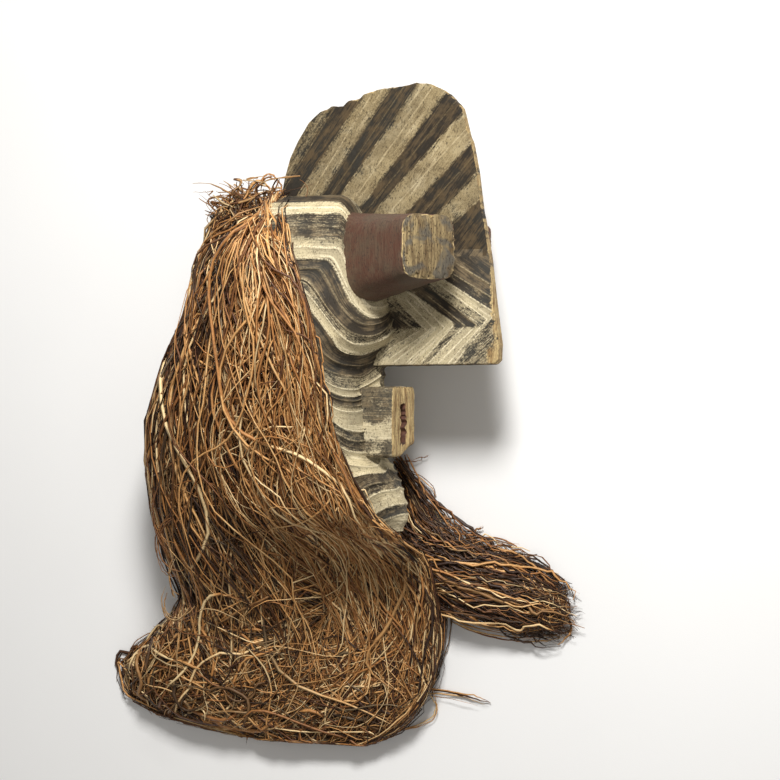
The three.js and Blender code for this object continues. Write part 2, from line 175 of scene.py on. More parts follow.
# %% Helpers for nodes


def node(tree, kind, inputs=None, **settings):
    made = tree.nodes.new("ShaderNode" + kind)
    for name, value in settings.items():
        setattr(made, name, value)
    for key, value in (inputs or {}).items():
        socket = made.inputs[key]
        if isinstance(value, bpy.types.NodeSocket):
            tree.links.new(value, socket)
        else:
            socket.default_value = value
    return made


def maths(tree, operation, a, b=0.0, c=0.0):
    return node(tree, "Math", {0: a, 1: b, 2: c}, operation=operation).outputs[0]


def times(tree, a, b):
    return maths(tree, "MULTIPLY", a, b)


def times_plus(tree, a, b, c):
    return maths(tree, "MULTIPLY_ADD", a, b, c)


def steps(tree, value, low, high, to_low=0.0, to_high=1.0):
    """Goes smoothly from to_low to to_high as the value goes from low to high."""
    sockets = {"Value": value, "From Min": low, "From Max": high, "To Min": to_low, "To Max": to_high}
    return node(tree, "MapRange", sockets, interpolation_type="SMOOTHSTEP").outputs[0]


def mixed(tree, share, a, b, blend="MIX"):
    return node(tree, "Mix", {0: share, 6: a, 7: b}, data_type="RGBA", blend_type=blend).outputs[2]


def noisy(tree, place, scale, detail, roughness=0.5, distortion=0.0):
    sockets = {"Vector": place, "Scale": scale, "Detail": detail, "Roughness": roughness}
    return node(tree, "TexNoise", {**sockets, "Distortion": distortion}).outputs[0]


def vectors(tree, operation, a, b):
    return node(tree, "VectorMath", {0: a, 1: b}, operation=operation).outputs[0]


def object_place(tree):
    return node(tree, "TexCoord").outputs["Object"]


def marks_of(tree, attribute):
    """The red, green, blue and alpha of a colour attribute, each as a value."""
    marks = node(tree, "Attribute", attribute_name=attribute)
    return [*node(tree, "SeparateColor", {"Color": marks.outputs["Color"]}).outputs, marks.outputs["Alpha"]]


def colour(red, green, blue):
    return (red, green, blue, 1)


def group(name, inputs, outputs):
    tree = bpy.data.node_groups.new(name, "ShaderNodeTree")
    for kind, names in (("INPUT", inputs), ("OUTPUT", outputs)):
        for label, sort, value in names:
            socket = tree.interface.new_socket(label, in_out=kind, socket_type="NodeSocket" + sort)
            if value is not None:
                socket.default_value = value
    return tree, tree.nodes.new("NodeGroupInput").outputs, tree.nodes.new("NodeGroupOutput").inputs


def use_group(tree, made, inputs):
    return node(tree, "Group", inputs, node_tree=made).outputs


def new_material(name):
    made = bpy.data.materials.new(name)
    made.use_nodes = True
    return made, made.node_tree, made.node_tree.nodes["Principled BSDF"]


def finish_material(tree, shader, base, roughness, height, depth, specular=0.35):
    bump = node(tree, "Bump", {"Height": height, "Strength": 1.0, "Distance": depth})
    tree.links.new(base, shader.inputs["Base Color"])
    tree.links.new(roughness, shader.inputs["Roughness"])
    tree.links.new(bump.outputs[0], shader.inputs["Normal"])
    shader.inputs["Specular IOR Level"].default_value = specular


floor_paint, tree, shader = new_material("floor_paint")
place = object_place(tree)
cloudy = noisy(tree, place, 3.0, 4.0)
grit = noisy(tree, place, 900.0, 1.0)
base = mixed(tree, cloudy, colour(0.80, 0.79, 0.77), colour(0.86, 0.85, 0.83))
finish_material(tree, shader, base, times_plus(tree, cloudy, 0.1, 0.8), grit, 0.0001, 0.2)
floor_mesh.materials.append(floor_paint)
print("floor material:", len(tree.nodes), "nodes")

# %% [markdown]
# Wood grain runs up and down this mask, because it was carved from an upright log. The group stretches
# three sizes of noise along that direction: broad soft bands, fibres about a millimetre wide, and short
# dark pores. The same group serves painted, bare and hollowed wood.

# %% Wood grain
GRAIN_STRETCH = 0.07  # how much finer the grain is across the log than along it
PORE_STRETCH = 0.22

grain, given, out = group(
    "grain",
    [("Fibre width", "Float", 0.0012), ("Waviness", "Float", 0.004)],
    [("Fibres", "Float", None), ("Bands", "Float", None), ("Pores", "Float", None)],
)
place = object_place(grain)
sway = node(grain, "TexNoise", {"Vector": place, "Scale": 9.0, "Detail": 2.0}).outputs["Color"]
sway = vectors(grain, "SUBTRACT", sway, (0.5, 0.5, 0.5))
sway_size = node(grain, "CombineXYZ", {0: given["Waviness"], 2: given["Waviness"]}).outputs[0]
sway = vectors(grain, "MULTIPLY", sway, sway_size)
swayed = vectors(grain, "ADD", place, sway)
along = vectors(grain, "MULTIPLY", swayed, (1, GRAIN_STRETCH, 1))
fineness = maths(grain, "DIVIDE", 0.6, given["Fibre width"])
short = vectors(grain, "MULTIPLY", swayed, (1, PORE_STRETCH, 1))
grain.links.new(noisy(grain, along, fineness, 3.0, 0.6), out["Fibres"])
grain.links.new(noisy(grain, along, 95.0, 2.0), out["Bands"])
grain.links.new(steps(grain, noisy(grain, short, 1100.0, 1.0), 0.63, 0.70), out["Pores"])
print("grain group:", len(grain.nodes), "nodes")

# %% [markdown]
# The paint is earth and kaolin rubbed on the wood, worn through by years of handling. Each point of the
# carving says how pale its band is, how much it stands up as a ridge, how far its paint is gone and how
# much red is on it. The group eats into those values with noise, so that a band's edge is never a clean
# line, then speckles the pale paint with dirt and lets brown wood show through the dark. A ridge's top is
# painted lighter, partly as rubbed paint and partly as a painted highlight. On the crest, all of it is
# darkened by a painted shade.

# %% Worn earth paint
BARE_DARK = colour(0.20, 0.115, 0.045)
BARE_PALE = colour(0.50, 0.37, 0.175)
SOOT = colour(0.034, 0.026, 0.017)
BLUE_SOOT = colour(0.040, 0.036, 0.028)
RUBBED_SOOT = colour(0.160, 0.116, 0.064)
RUBBED_AND_HIGHLIT_RIDGE = colour(0.44, 0.35, 0.20)
KAOLIN = colour(0.56, 0.47, 0.285)
PALE_GREY = colour(0.42, 0.355, 0.225)
# pale chalk on the smears, and also the painted highlight on the ridges of pale bands
CHALK_AND_HIGHLIGHT = colour(0.90, 0.79, 0.54)
PAINTED_CREST_SHADE = colour(0.42, 0.37, 0.29)  # a painted shade, multiplied into all of the crest's colours
GRIME = colour(0.17, 0.125, 0.070)
RED_EARTH = colour(0.17, 0.035, 0.02)
PORE_DARK = colour(0.05, 0.035, 0.022)
# the black of a worm hole: painted shade inside the hole
WORM_HOLE_SHADE = colour(0.008, 0.006, 0.005)
STROKE_STRETCH = 0.09  # how much finer the paint's streaks are across a stroke than along it
WORM_HOLES_PER_M, WORM_HOLE_SHARE = 75.0, 0.05
WORMS_FROM = 0.72  # only the cells with a random value above this have a worm hole

paint, given, out = group(
    "worn earth paint",
    [(name, "Float", 0.0) for name in ("Tone", "Ridge", "Bare", "Red", "Crest shade")],
    [("Color", "Color", None), ("Roughness", "Float", None), ("Height", "Float", None)],
)
place = object_place(paint)
stroke = node(paint, "UVMap", uv_map="stroke").outputs[0]
drawn = vectors(paint, "MULTIPLY", stroke, (STROKE_STRETCH, 1, 1))
wood = use_group(paint, grain, {"Fibre width": 0.0011, "Waviness": 0.003})
scratch = noisy(paint, drawn, 620.0, 3.0, 0.65)
smear = noisy(paint, drawn, 150.0, 3.0, 0.6)
ragged = noisy(paint, place, 420.0, 4.0, 0.7)
patchy = noisy(paint, place, 48.0, 4.0, 0.65)
broad = noisy(paint, place, 14.0, 2.0)
speckle = noisy(paint, place, 900.0, 2.0, 0.6)


def off_middle(value, share, base):
    """Adds to the base a noise value's distance from its middle, times a share."""
    return times_plus(paint, maths(paint, "SUBTRACT", value, 0.5), share, base)


eaten = off_middle(scratch, 0.85, off_middle(ragged, 0.75, off_middle(patchy, 0.60, given["Tone"])))
pale = steps(paint, eaten, 0.36, 0.66)
bare_wood = mixed(paint, steps(paint, wood["Fibres"], 0.34, 0.60), BARE_DARK, BARE_PALE)
bare_wood = mixed(paint, steps(paint, wood["Bands"], 0.60, 0.70, 0.0, 0.7), bare_wood, BARE_DARK)
bare_wood = mixed(paint, times(paint, wood["Pores"], 0.7), bare_wood, PORE_DARK)
rubbed = steps(paint, off_middle(scratch, 0.9, off_middle(patchy, 1.2, smear)), 0.36, 0.78)
dark_paint = mixed(paint, steps(paint, broad, 0.40, 0.62), SOOT, BLUE_SOOT)
dark_paint = mixed(paint, rubbed, dark_paint, RUBBED_SOOT)
dirt = off_middle(speckle, 0.9, off_middle(scratch, 0.9, off_middle(patchy, 0.8, 0.5)))
dirt = steps(paint, dirt, 0.46, 0.80)
kaolin = mixed(paint, steps(paint, broad, 0.35, 0.65), KAOLIN, PALE_GREY)
kaolin = mixed(paint, steps(paint, smear, 0.50, 0.72, 0.0, 0.7), kaolin, CHALK_AND_HIGHLIGHT)
pale_paint = mixed(paint, times(paint, dirt, 0.8), kaolin, GRIME)
pale_paint = mixed(paint, times(paint, wood["Pores"], 0.75), pale_paint, PORE_DARK)
painted = mixed(paint, pale, dark_paint, pale_paint)
# A ridge's top is painted lighter: partly rubbed paint, partly a painted highlight.
ridge_top = times(paint, given["Ridge"], steps(paint, ragged, 0.34, 0.56))
painted = mixed(paint, ridge_top, painted, mixed(paint, pale, RUBBED_AND_HIGHLIT_RIDGE, CHALK_AND_HIGHLIGHT))
red_share = times(paint, given["Red"], steps(paint, patchy, 0.30, 0.55))
painted = mixed(paint, red_share, painted, RED_EARTH)
# The crest's copy is multiplied by a painted shade, patchy with noise.
crest_shade = times(paint, given["Crest shade"], steps(paint, patchy, 0.25, 0.60, 0.7, 1.0))
painted = mixed(paint, crest_shade, painted, mixed(paint, 1.0, painted, PAINTED_CREST_SHADE, "MULTIPLY"))
gone = steps(paint, off_middle(ragged, 0.9, off_middle(patchy, 0.7, given["Bare"])), 0.35, 0.65)
holes = node(paint, "TexVoronoi", {"Vector": place, "Scale": WORM_HOLES_PER_M}, feature="F1")
worm = maths(paint, "LESS_THAN", holes.outputs["Distance"], WORM_HOLE_SHARE)
chosen = node(paint, "SeparateColor", {"Color": holes.outputs["Color"]}).outputs[0]
worm = times(paint, worm, maths(paint, "GREATER_THAN", chosen, WORMS_FROM))
# worm holes are painted near black as the shade inside them, and dented in the bump
paint.links.new(mixed(paint, worm, mixed(paint, gone, painted, bare_wood), WORM_HOLE_SHADE), out["Color"])
paint.links.new(times_plus(paint, pale, 0.12, 0.72), out["Roughness"])
height = times_plus(paint, scratch, 0.8, times(paint, pale, 0.16))
for value, share in ((ragged, 0.5), (wood["Pores"], -0.6), (gone, -0.15), (worm, -3.0)):
    height = times_plus(paint, value, share, height)
paint.links.new(height, out["Height"])
print("paint group:", len(paint.nodes), "nodes")

# %% [markdown]
# Five woods come from those two groups: the striped paint of the face, the same paint darkened by a painted
# shade on the crest, the dark red paint of the eyes, the bare sawn ends, and the inside, which was never
# painted.

# %% Wood materials


def striped(name, crest_shade):
    made, tree, shader = new_material(name)
    tone, ridge, bare, red = marks_of(tree, "carving")
    worn = use_group(tree, paint, {"Tone": tone, "Ridge": ridge, "Bare": bare, "Red": red, "Crest shade": crest_shade})
    finish_material(tree, shader, worn["Color"], worn["Roughness"], worn["Height"], 0.0007, 0.25)
    return made


striped_wood = striped("striped_wood", 0.0)
# The crest's copy of the paint, darkened by a painted shade.
crest_wood = striped("crest_wood", 0.9)

red_wood, tree, shader = new_material("red_wood")
place = object_place(tree)
wood = use_group(tree, grain, {"Fibre width": 0.0010, "Waviness": 0.006})
worn = noisy(tree, place, 26.0, 4.0, 0.65)
base = mixed(tree, steps(tree, worn, 0.38, 0.66), colour(0.090, 0.036, 0.022), colour(0.085, 0.055, 0.034))
fibre = steps(tree, wood["Fibres"], 0.40, 0.62)
base = mixed(tree, times(tree, fibre, 0.5), base, colour(0.135, 0.085, 0.052))
base = mixed(tree, times(tree, wood["Pores"], 0.8), base, colour(0.018, 0.012, 0.01))
edge_wear = steps(tree, times_plus(tree, worn, 0.8, marks_of(tree, "carving")[2]), 0.85, 1.15)
base = mixed(tree, edge_wear, base, BARE_PALE)
height = times_plus(tree, wood["Pores"], -0.9, times(tree, wood["Fibres"], 0.9))
finish_material(tree, shader, base, times_plus(tree, worn, 0.2, 0.5), height, 0.0006, 0.4)

bare_end, tree, shader = new_material("bare_end")
place = object_place(tree)
wood = use_group(tree, grain, {"Fibre width": 0.0016, "Waviness": 0.003})
growth = steps(tree, wood["Bands"], 0.35, 0.65)
base = mixed(tree, growth, colour(0.13, 0.088, 0.042), colour(0.29, 0.215, 0.105))
fibre = times(tree, steps(tree, wood["Fibres"], 0.36, 0.56), 0.8)
base = mixed(tree, maths(tree, "SUBTRACT", 0.8, fibre), base, colour(0.085, 0.05, 0.022))
stain = noisy(tree, place, 38.0, 3.0, distortion=0.6)
base = mixed(tree, steps(tree, stain, 0.48, 0.62, 0.0, 0.8), base, colour(0.085, 0.078, 0.065))
base = mixed(tree, wood["Pores"], base, colour(0.03, 0.018, 0.01))
height = times_plus(tree, wood["Pores"], -1.0, times(tree, wood["Fibres"], 1.4))
finish_material(tree, shader, base, times_plus(tree, stain, 0.1, 0.72), height, 0.0010, 0.2)

hollow_wood, tree, shader = new_material("hollow_wood")
wood = use_group(tree, grain, {"Fibre width": 0.0018, "Waviness": 0.004})
base = mixed(tree, wood["Bands"], colour(0.085, 0.045, 0.02), colour(0.17, 0.095, 0.042))
base = mixed(tree, times(tree, wood["Pores"], 0.6), base, colour(0.03, 0.018, 0.01))
rough = times_plus(tree, wood["Fibres"], 0.2, 0.55)
finish_material(tree, shader, base, rough, wood["Fibres"], 0.0008, 0.35)
WOODS = [striped_wood, red_wood, bare_end, hollow_wood, crest_wood]
STRIPED, RED, BARE, HOLLOW, SHADED_CREST = range(5)
print("woods:", [m.name for m in WOODS])

# %% [markdown]
# The face is one sheet with two coordinates. The first runs round the rim, from the chin to the crown;
# the second runs across, from the rim to the middle line of the face. A line of constant first coordinate
# is a carved band, which leaves the rim level, swings down round the eye and crosses the middle line low.
# Nearly the same rule shaped the solid, so the sheet lies on it.

# %% The form of the face
FACE_TOP = 421
RIM_SLANT = 112  # how much further forward the rim is at the chin than at the crown
WALL = 13
OUTLINE = [  # the rim's half width and its height
    (0, 0), (16, 5), (31, 22), (47, 52), (67, 92), (90, 142), (110, 202), (121, 262),
    (124, 310), (119, 352), (102, 387), (76, 407), (42, 418), (0, FACE_TOP),
]
SPINE = [  # height, and how far forward the middle line is there
    (12, 150), (30, 161), (54, 156), (78, 146), (94, 133), (106, 121), (150, 118), (186, 113), (212, 114),
    (228, 127), (246, 145), (268, 147), (290, 140), (352, 128),
]
BAND_PATHS = [  # height at the rim, lowest height, height at the middle line, and where it falls from and to
    (0, 12, 12, 0.1, 0.85), (12, 36, 36, 0.12, 0.85), (38, 60, 62, 0.16, 0.8), (70, 82, 86, 0.22, 0.75),
    (105, 98, 106, 0.32, 0.7), (128, 119, 131, 0.36, 0.7), (150, 137, 144, 0.34, 0.7),
    (173, 160, 170, 0.32, 0.66), (200, 176, 188, 0.28, 0.7), (220, 189, 208, 0.25, 0.76),
    (237, 202, 224, 0.21, 0.82), (254, 214, 233, 0.2, 0.8), (270, 220, 240, 0.22, 0.74),
    (285, 227, 247, 0.25, 0.7), (302, 239, 264, 0.28, 0.67), (315, 249, 280, 0.31, 0.67),
    (327, 262, 286, 0.4, 0.66), (338, 270, 289, 0.47, 0.69), (352, 284, 292, 0.54, 0.72),
    (385, 318, 318, 0.54, 0.8),
    (FACE_TOP, 352, 352, 0.45, 0.85),
]
BAND_FALL_BEND = 3  # a band falls steeply at first and then levels out, the more so for a larger number
FALL_EASE = 0.16  # how softly a band starts and ends its fall, as a share of the fall
BAND_RISE_BEND = 1.6
SQUARENESS = (2.5, 4)  # how square the face is from rim to rim, at the cheeks and at the crown
SQUARE_FROM = 300
KEEL_DEPTH, KEEL_HALF, KEEL_LOW, KEEL_HIGH = 12, 30, (150, 178), (214, 226)  # between mouth and nose


def smooth(value, low, high):
    t = min(max((value - low) / (high - low), 0), 1)
    return t * t * (3 - 2 * t)


def lerp(a, b, t):
    return a + (b - a) * t


def bumps(x, y, z):
    return noise.noise((x, y, z))


def follow(points, value, column=1):
    """Reads a column of a table at a value of its first column, between its rows."""
    return float(np.interp(value, [p[0] for p in points], [p[column] for p in points]))


def smooth_curve(points, per_span=24):
    """The same centripetal curve through the points that the solid's rim follows."""
    points = [Vector(p).to_3d() for p in points]
    ends = [points[0] * 2 - points[1], *points, points[-1] * 2 - points[-2]]
    curve = []
    for p0, p1, p2, p3 in zip(ends, ends[1:], ends[2:], ends[3:]):
        d0, d1, d2 = (math.sqrt((b - a).length) for a, b in ((p0, p1), (p1, p2), (p2, p3)))
        t1 = ((p1 - p0) / d0 - (p2 - p0) / (d0 + d1) + (p2 - p1) / d1) * d1
        t2 = ((p2 - p1) / d1 - (p3 - p1) / (d1 + d2) + (p3 - p2) / d2) * d1
        squared, cubed = p2 * 3 - p1 * 3 - t1 * 2 - t2, p1 * 2 - p2 * 2 + t1 + t2
        for t in (i / per_span for i in range(per_span)):
            curve.append(p1 + t1 * t + squared * t * t + cubed * t ** 3)
    return [*curve, points[-1]]


def by_length(curve):
    """A function from a share of the curve's length to its (width, height), and the length."""
    xy = np.array([(p[0], p[1]) for p in curve])
    run = np.concatenate([[0], np.cumsum(np.linalg.norm(np.diff(xy, axis=0), axis=1))])
    return lambda share: (
        float(np.interp(share * run[-1], run, xy[:, 0])),
        float(np.interp(share * run[-1], run, xy[:, 1])),
    ), float(run[-1])


rim_at, rim_length = by_length(smooth_curve(OUTLINE))


def rim_depth(height):
    return RIM_SLANT * (1 - height / FACE_TOP)


def fallen(t):
    """The running sum of a fall that is steep at first and then levels out, whose mean is an eased fall."""
    power = BAND_FALL_BEND + 1
    return max(t, 0) if t < 0 else t + ((1 - min(t, 1)) ** power - 1) / power


def face_point(edge, turned, wall=0):
    width, start = edge
    angle = turned * math.pi / 2
    squareness = lerp(*SQUARENESS, smooth(start, SQUARE_FROM, FACE_TOP))
    c, s = max(math.cos(angle), 0), math.sin(angle)
    reach = (c ** squareness + s ** squareness) ** (-1 / squareness)
    lowest, at_spine, falls_from, falls_to = (follow(BAND_PATHS, start, column) for column in (1, 2, 3, 4))
    falling = (turned - falls_from) / (falls_to - falls_from)
    height = lerp(start, lowest, (fallen(falling + FALL_EASE) - fallen(falling - FALL_EASE)) / 2 / FALL_EASE)
    height += (at_spine - lowest) * max((turned - falls_to) / (1 - falls_to), 0) ** BAND_RISE_BEND
    out = 0 if turned == 1 else width * reach * c
    keel = KEEL_DEPTH * smooth(height, *KEEL_LOW) * (1 - smooth(height, *KEEL_HIGH))
    depth = lerp(rim_depth(start), follow(SPINE, height) - wall, reach * s)
    return depth + keel * max(1 - out / KEEL_HALF, 0), height, out


print("rim", round(rim_length), "mm round each side")

# %% [markdown]
# What is carved and painted across the bands is a list from the crown down to the chin. Each entry is
# where a line crosses the rim, as a share of the way from the chin to the crown, how bright that ridge is
# painted, partly as rubbed paint and partly as a painted highlight, and how pale the band below it is
# painted. Bands are scooped a little hollow, so that the line between two of them is left standing as a
# thin ridge.

# %% The carved bands
BANDS = [
    (1.0, 0.0, 0.50), (0.935, 1.0, 0.20), (0.860, 0.3, 0.84), (0.836, 0.9, 0.88), (0.811, 1.0, 0.40),
    (0.772, 0.3, 0.36), (0.741, 0.2, 0.64), (0.7204, 1.0, 0.80), (0.6951, 1.0, 0.26), (0.6748, 0.5, 0.18),
    (0.6515, 0.8, 0.46), (0.6281, 1.0, 0.76), (0.5966, 1.0, 0.20), (0.5387, 0.7, 0.14), (0.5053, 0.7, 0.50),
    (0.4659, 1.0, 0.84), (0.4414, 1.0, 0.26), (0.425, 0.6, 0.26), (0.405, 0.6, 0.56), (0.3833, 1.0, 0.92),
    (0.3377, 0.8, 0.40), (0.310, 0.7, 0.36), (0.2778, 0.8, 0.88), (0.235, 0.7, 0.84), (0.200, 0.8, 0.30),
    (0.160, 0.6, 0.38), (0.130, 0.9, 0.88), (0.085, 0.7, 0.34), (0.055, 0.8, 0.80), (0.02, 0.6, 0.66),
]
CHIN_BAND = (0.0, 0.4, 0.5)
BORDERS = list(zip(BANDS, [*BANDS[1:], CHIN_BAND]))
SCOOP = 0.20  # how deep a band is scooped, as a share of its width
SCOOP_MOST = 2.2
SCOOP_ROUND = 2.6
RIDGE_WIDE = 1.4  # half the width of a ridge's lighter top, rubbed paint and painted highlight, in mm along the rim
TONE_BLEND = 3.4  # how far from a border the paint of two bands runs together, in mm
KNIFE_FACET, KNIFE_DEPTH = 11, 0.35  # the size and depth of the knife's facets, in mm
BAND_WAVER = 1.6  # how far the carver's line wavers, in mm
FACE_LINES = 430
FACE_ACROSS = 84


def band_at(share, across, side):
    """Depth of the scoop, paint tone and ridge at a point of the face."""
    place = Vector((share * 9, across * 3.1, side * 5))
    share += noise.noise(place) * BAND_WAVER / rim_length * math.sin(math.pi * min(share * 3, 1) / 2)
    for i, ((top, top_ridge, tone), (low, low_ridge, next_tone)) in enumerate(BORDERS):
        if share >= low:
            width = (top - low) * rim_length
            t = min(max((share - low) / (top - low), 0), 1)
            scoop = min(SCOOP * width, SCOOP_MOST) * (1 - abs(2 * t - 1) ** SCOOP_ROUND)
            above, below = (1 - t) * width, t * width
            upper, lower = (max(1 - gap / RIDGE_WIDE, 0) for gap in (above, below))
            ridge = max(top_ridge * upper, low_ridge * lower)
            blended = lerp(tone, next_tone, 0.5 * max(1 - below / TONE_BLEND, 0))
            blended += (BANDS[max(i - 1, 0)][2] - tone) * 0.5 * max(1 - above / TONE_BLEND, 0)
            return scoop, blended, ridge
    return 0, 0.5, 0


def corners_of(geometry):
    return [part for part in geometry if isinstance(part, bmesh.types.BMVert)]


def stroke_map(bm, stroke_of):
    """Writes on every corner how far along and across the carver's stroke it lies, in metres."""
    strokes = bm.loops.layers.uv.new("stroke")
    for face in bm.faces:
        for loop in face.loops:
            loop[strokes].uv = Vector(stroke_of(loop.vert, face)) * MM


def face_sheet(edge_at, lines, across, wall):
    """A grid whose one side runs along the rim and whose other goes over the face from rim to rim."""
    bm = bmesh.new()
    bmesh.ops.create_grid(bm, x_segments=lines, y_segments=across, size=0.5)
    share_layer = bm.verts.layers.float.new("share")
    side_layer = bm.verts.layers.float.new("side")
    for v in bm.verts:
        share, side = v.co.x + 0.5, v.co.y * 2
        turned = 1 - abs(side)
        if min(turned, 1 - turned) < 1e-6:
            turned = round(turned)
        depth, height, width = face_point(edge_at(share), turned, wall)
        v[share_layer], v[side_layer] = share, side
        v.co = (depth, height, math.copysign(width, side))
    bmesh.ops.remove_doubles(bm, verts=bm.verts, dist=0.02)
    bmesh.ops.dissolve_degenerate(bm, edges=bm.edges, dist=0.01)
    return bm, share_layer, side_layer


def close_back(bm, reach):
    """Carries the open edge straight back by the reach and closes it."""
    rim = [e for e in bm.edges if e.is_boundary]
    if reach:
        moved = bmesh.ops.extrude_edge_only(bm, edges=rim)["geom"]
        bmesh.ops.translate(bm, vec=(-reach, 0, 0), verts=corners_of(moved))
        rim = [e for e in bm.edges if e.is_boundary]
    bmesh.ops.holes_fill(bm, edges=rim, sides=0)
    bmesh.ops.recalc_face_normals(bm, faces=bm.faces)


def to_object(bm, name, shade=None, wood=STRIPED):
    """Finishes a part of the mask: its marks on every corner, its place in the frame, its woods.

    With no wood given, each face keeps the wood that it has.
    """
    colours = bm.loops.layers.float_color
    layer = colours.get("carving") or colours.new("carving")
    for face in bm.faces:
        if wood is not None:
            face.material_index = wood
        face.smooth = True
        if shade:
            for loop in face.loops:
                loop[layer] = shade(loop.vert, face)
    for v in bm.verts:
        v.co = at(*v.co)
    mesh = bpy.data.meshes.new(name)
    bm.to_mesh(mesh)
    bm.free()
    for wood_material in WOODS:
        mesh.materials.append(wood_material)
    return new_object(name, mesh)


STROKE_ACROSS, OTHER_SIDE = 150, 400  # how the paint's streaks are measured on the two sides of the face
EDGE_FADE = 0.06  # the carving fades out over this last share of the way to the rim
bm, share_layer, side_layer = face_sheet(rim_at, FACE_LINES, FACE_ACROSS, 0)
close_back(bm, 0)
bm.normal_update()
marks = {}
for v in bm.verts:
    share, side = v[share_layer], v[side_layer]
    scoop, tone, ridge = band_at(share, abs(side), math.copysign(1, side))
    fade = smooth(1 - abs(side), 0, EDGE_FADE)
    facets = noise.noise(v.co / KNIFE_FACET) * KNIFE_DEPTH
    marks[v] = (tone, ridge, 0.0, 0.0)
    v.co = v.co - v.normal * (scoop * fade + facets * fade)


def face_stroke(v, face):
    side = v[side_layer]
    return STROKE_ACROSS * (1 - abs(side)) + OTHER_SIDE * (side < 0), v[share_layer] * rim_length


stroke_map(bm, face_stroke)
face_part = to_object(bm, "face_part", lambda v, f: marks[v])
print("face:", len(face_part.data.polygons), "faces")

# %% [markdown]
# The crest runs on into the nose as one upright plate. It starts as a circle whose points are moved on to
# the outline, is thickened, and has its edges rounded. Then straight cuts run across it: a loose square
# mesh, so that the knife's unevenness can be pressed in, and five cuts along each painted line, of which
# the middle one is lifted into a thin ridge.

# %% The outline of the plate
CREST = [  # forward and up
    (20, 400), (0, 420), (5, 444), (12, 468), (22, 488), (36, 510), (50, 522), (60, 525), (66, 529),
    (80, 528), (86, 534), (101, 536), (106, 541), (130, 547), (150, 548), (172, 552), (190, 550),
    (207, 542), (220, 531), (230, 519), (235, 498), (238, 486), (241, 480), (244, 466), (248, 444),
    (254, 396), (259, 372), (264, 340), (269, 294), (273, 262), (276, 240), (275, 221), (270, 216),
    (100, 214), (90, 260), (90, 360), (20, 400),
]
CREST_SIDES = 340
PLATE_EDGE = 2.4  # how far the plate's edges are rounded
PLATE_MESH = 8.0
PLATE_FRONT, PLATE_FOOT = 276, 216  # how far forward the square mesh reaches, and the height it starts at
BLANK_HALF = 10  # half the plate's thickness before it is tapered
RAGGED, RAGGED_TOP, RAGGED_FROM = 0.45, 0.9, 505  # how uneven the outline is, and more so above a height


def crest_half(depth, height):
    """Half the plate's thickness: it tapers towards the front and the top."""
    return 13 - 0.026 * depth + 0.012 * (CREST_TOP - height)


outline_at, outline_length = by_length(CREST)
plate = bmesh.new()
bmesh.ops.create_circle(plate, cap_ends=True, segments=CREST_SIDES, radius=1)
plate.verts.ensure_lookup_table()
for i, v in enumerate(sorted(plate.verts, key=lambda v: math.atan2(v.co.y, v.co.x))):
    depth, height = outline_at(i / CREST_SIDES)
    ragged = bumps(depth / 7, height / 7, 3.1) + 0.6 * bumps(depth / 2.6, height / 2.6, 9)
    size = RAGGED_TOP if height > RAGGED_FROM else RAGGED
    v.co = (depth + ragged * size * 0.4, height + ragged * size, -BLANK_HALF)
top = bmesh.ops.extrude_face_region(plate, geom=list(plate.faces))["geom"]
bmesh.ops.translate(plate, vec=(0, 0, 2 * BLANK_HALF), verts=corners_of(top))
bmesh.ops.recalc_face_normals(plate, faces=plate.faces)
borders = [e for e in plate.edges if abs(e.verts[0].co.z - e.verts[1].co.z) < 1]
bmesh.ops.bevel(
    plate, geom=borders, offset=PLATE_EDGE, segments=3, profile=0.5, affect="EDGES", material=-1,
    clamp_overlap=True,
)
print("plate outline", round(outline_length), "mm,", len(plate.faces), "faces")

# %% [markdown]
# The crest carries slanting stripes that fan out towards the front, alternately dark and pale, and the
# nose carries chevrons that point forward. Both are given as lines seen in the photograph, from which the
# helper works out their places on the plate. A point's paint is found by counting the lines it is past.

# %% The lines of the crest and nose
FAN = [  # foot and head of each line between two stripes, and whether it is a stripe's middle line
    ((272, 197), (328, 104), 0), ((278, 197), (336, 104), 1), ((296, 196), (359, 101), 1),
    ((309, 196), (371, 96), 0), ((322, 195), (391, 90), 1), ((331, 195), (404, 88), 0),
    ((340, 196), (419, 84), 1), ((354, 200), (433, 88), 0), ((365, 203), (448, 92), 1),
    ((372, 205), (457, 102), 0), ((378, 208), (465, 112), 1), ((391, 212), (469, 128), 0),
    ((405, 216), (472, 145), 1), ((419, 218), (474, 158), 0), ((433, 220), (476, 174), 1),
    ((451, 228), (481, 199), 1),
]
FAN_TONES = [0.50, 0.12, 0.64, 0.04, 0.70, 0.06, 0.74, 0.05, 0.70, 0.08]
CHEVRONS = [  # where the upper arm starts, where it turns, where the lower arm ends
    ((456, 266), (504, 297), None), ((453, 276), (504, 309), None), ((443, 281), (493, 315), (452, 366)),
    ((439, 286), (485, 321), (446, 366)), ((433, 291), (475, 326), (438, 364)),
    ((428, 297), (464, 327), (430, 362)), ((425, 303), (454, 325), (424, 360)),
    ((418, 301), (444, 329), (410, 360)), ((410, 304), (435, 331), (398, 360)),
    ((406, 311), (428, 332), (392, 358)), ((402, 320), (418, 332), (384, 353)),
]
CHEVRON_TONES = [  # between each and the next, on the upper arm and on the lower
    (0.16, 0.40), (0.34, 0.46), (0.78, 0.62), (0.54, 0.82), (0.20, 0.66), (0.24, 0.50), (0.86, 0.88),
    (0.76, 0.86), (0.72, 0.76), (0.40, 0.66), (0.24, 0.56),
]
PLATE_FACE = 10  # how far to the right the plate's side lies, near enough for the lines
LINE_HALF = 1.3
LINE_LIFT = 0.75
TONE_REACH = 3.6  # how far from a line the paint of two stripes runs together, in mm
TONE_WAVER = 2.4  # how far the border between two stripes wavers, in mm
NOSE_NEATER = 0.35  # on the nose, both are only this share of it


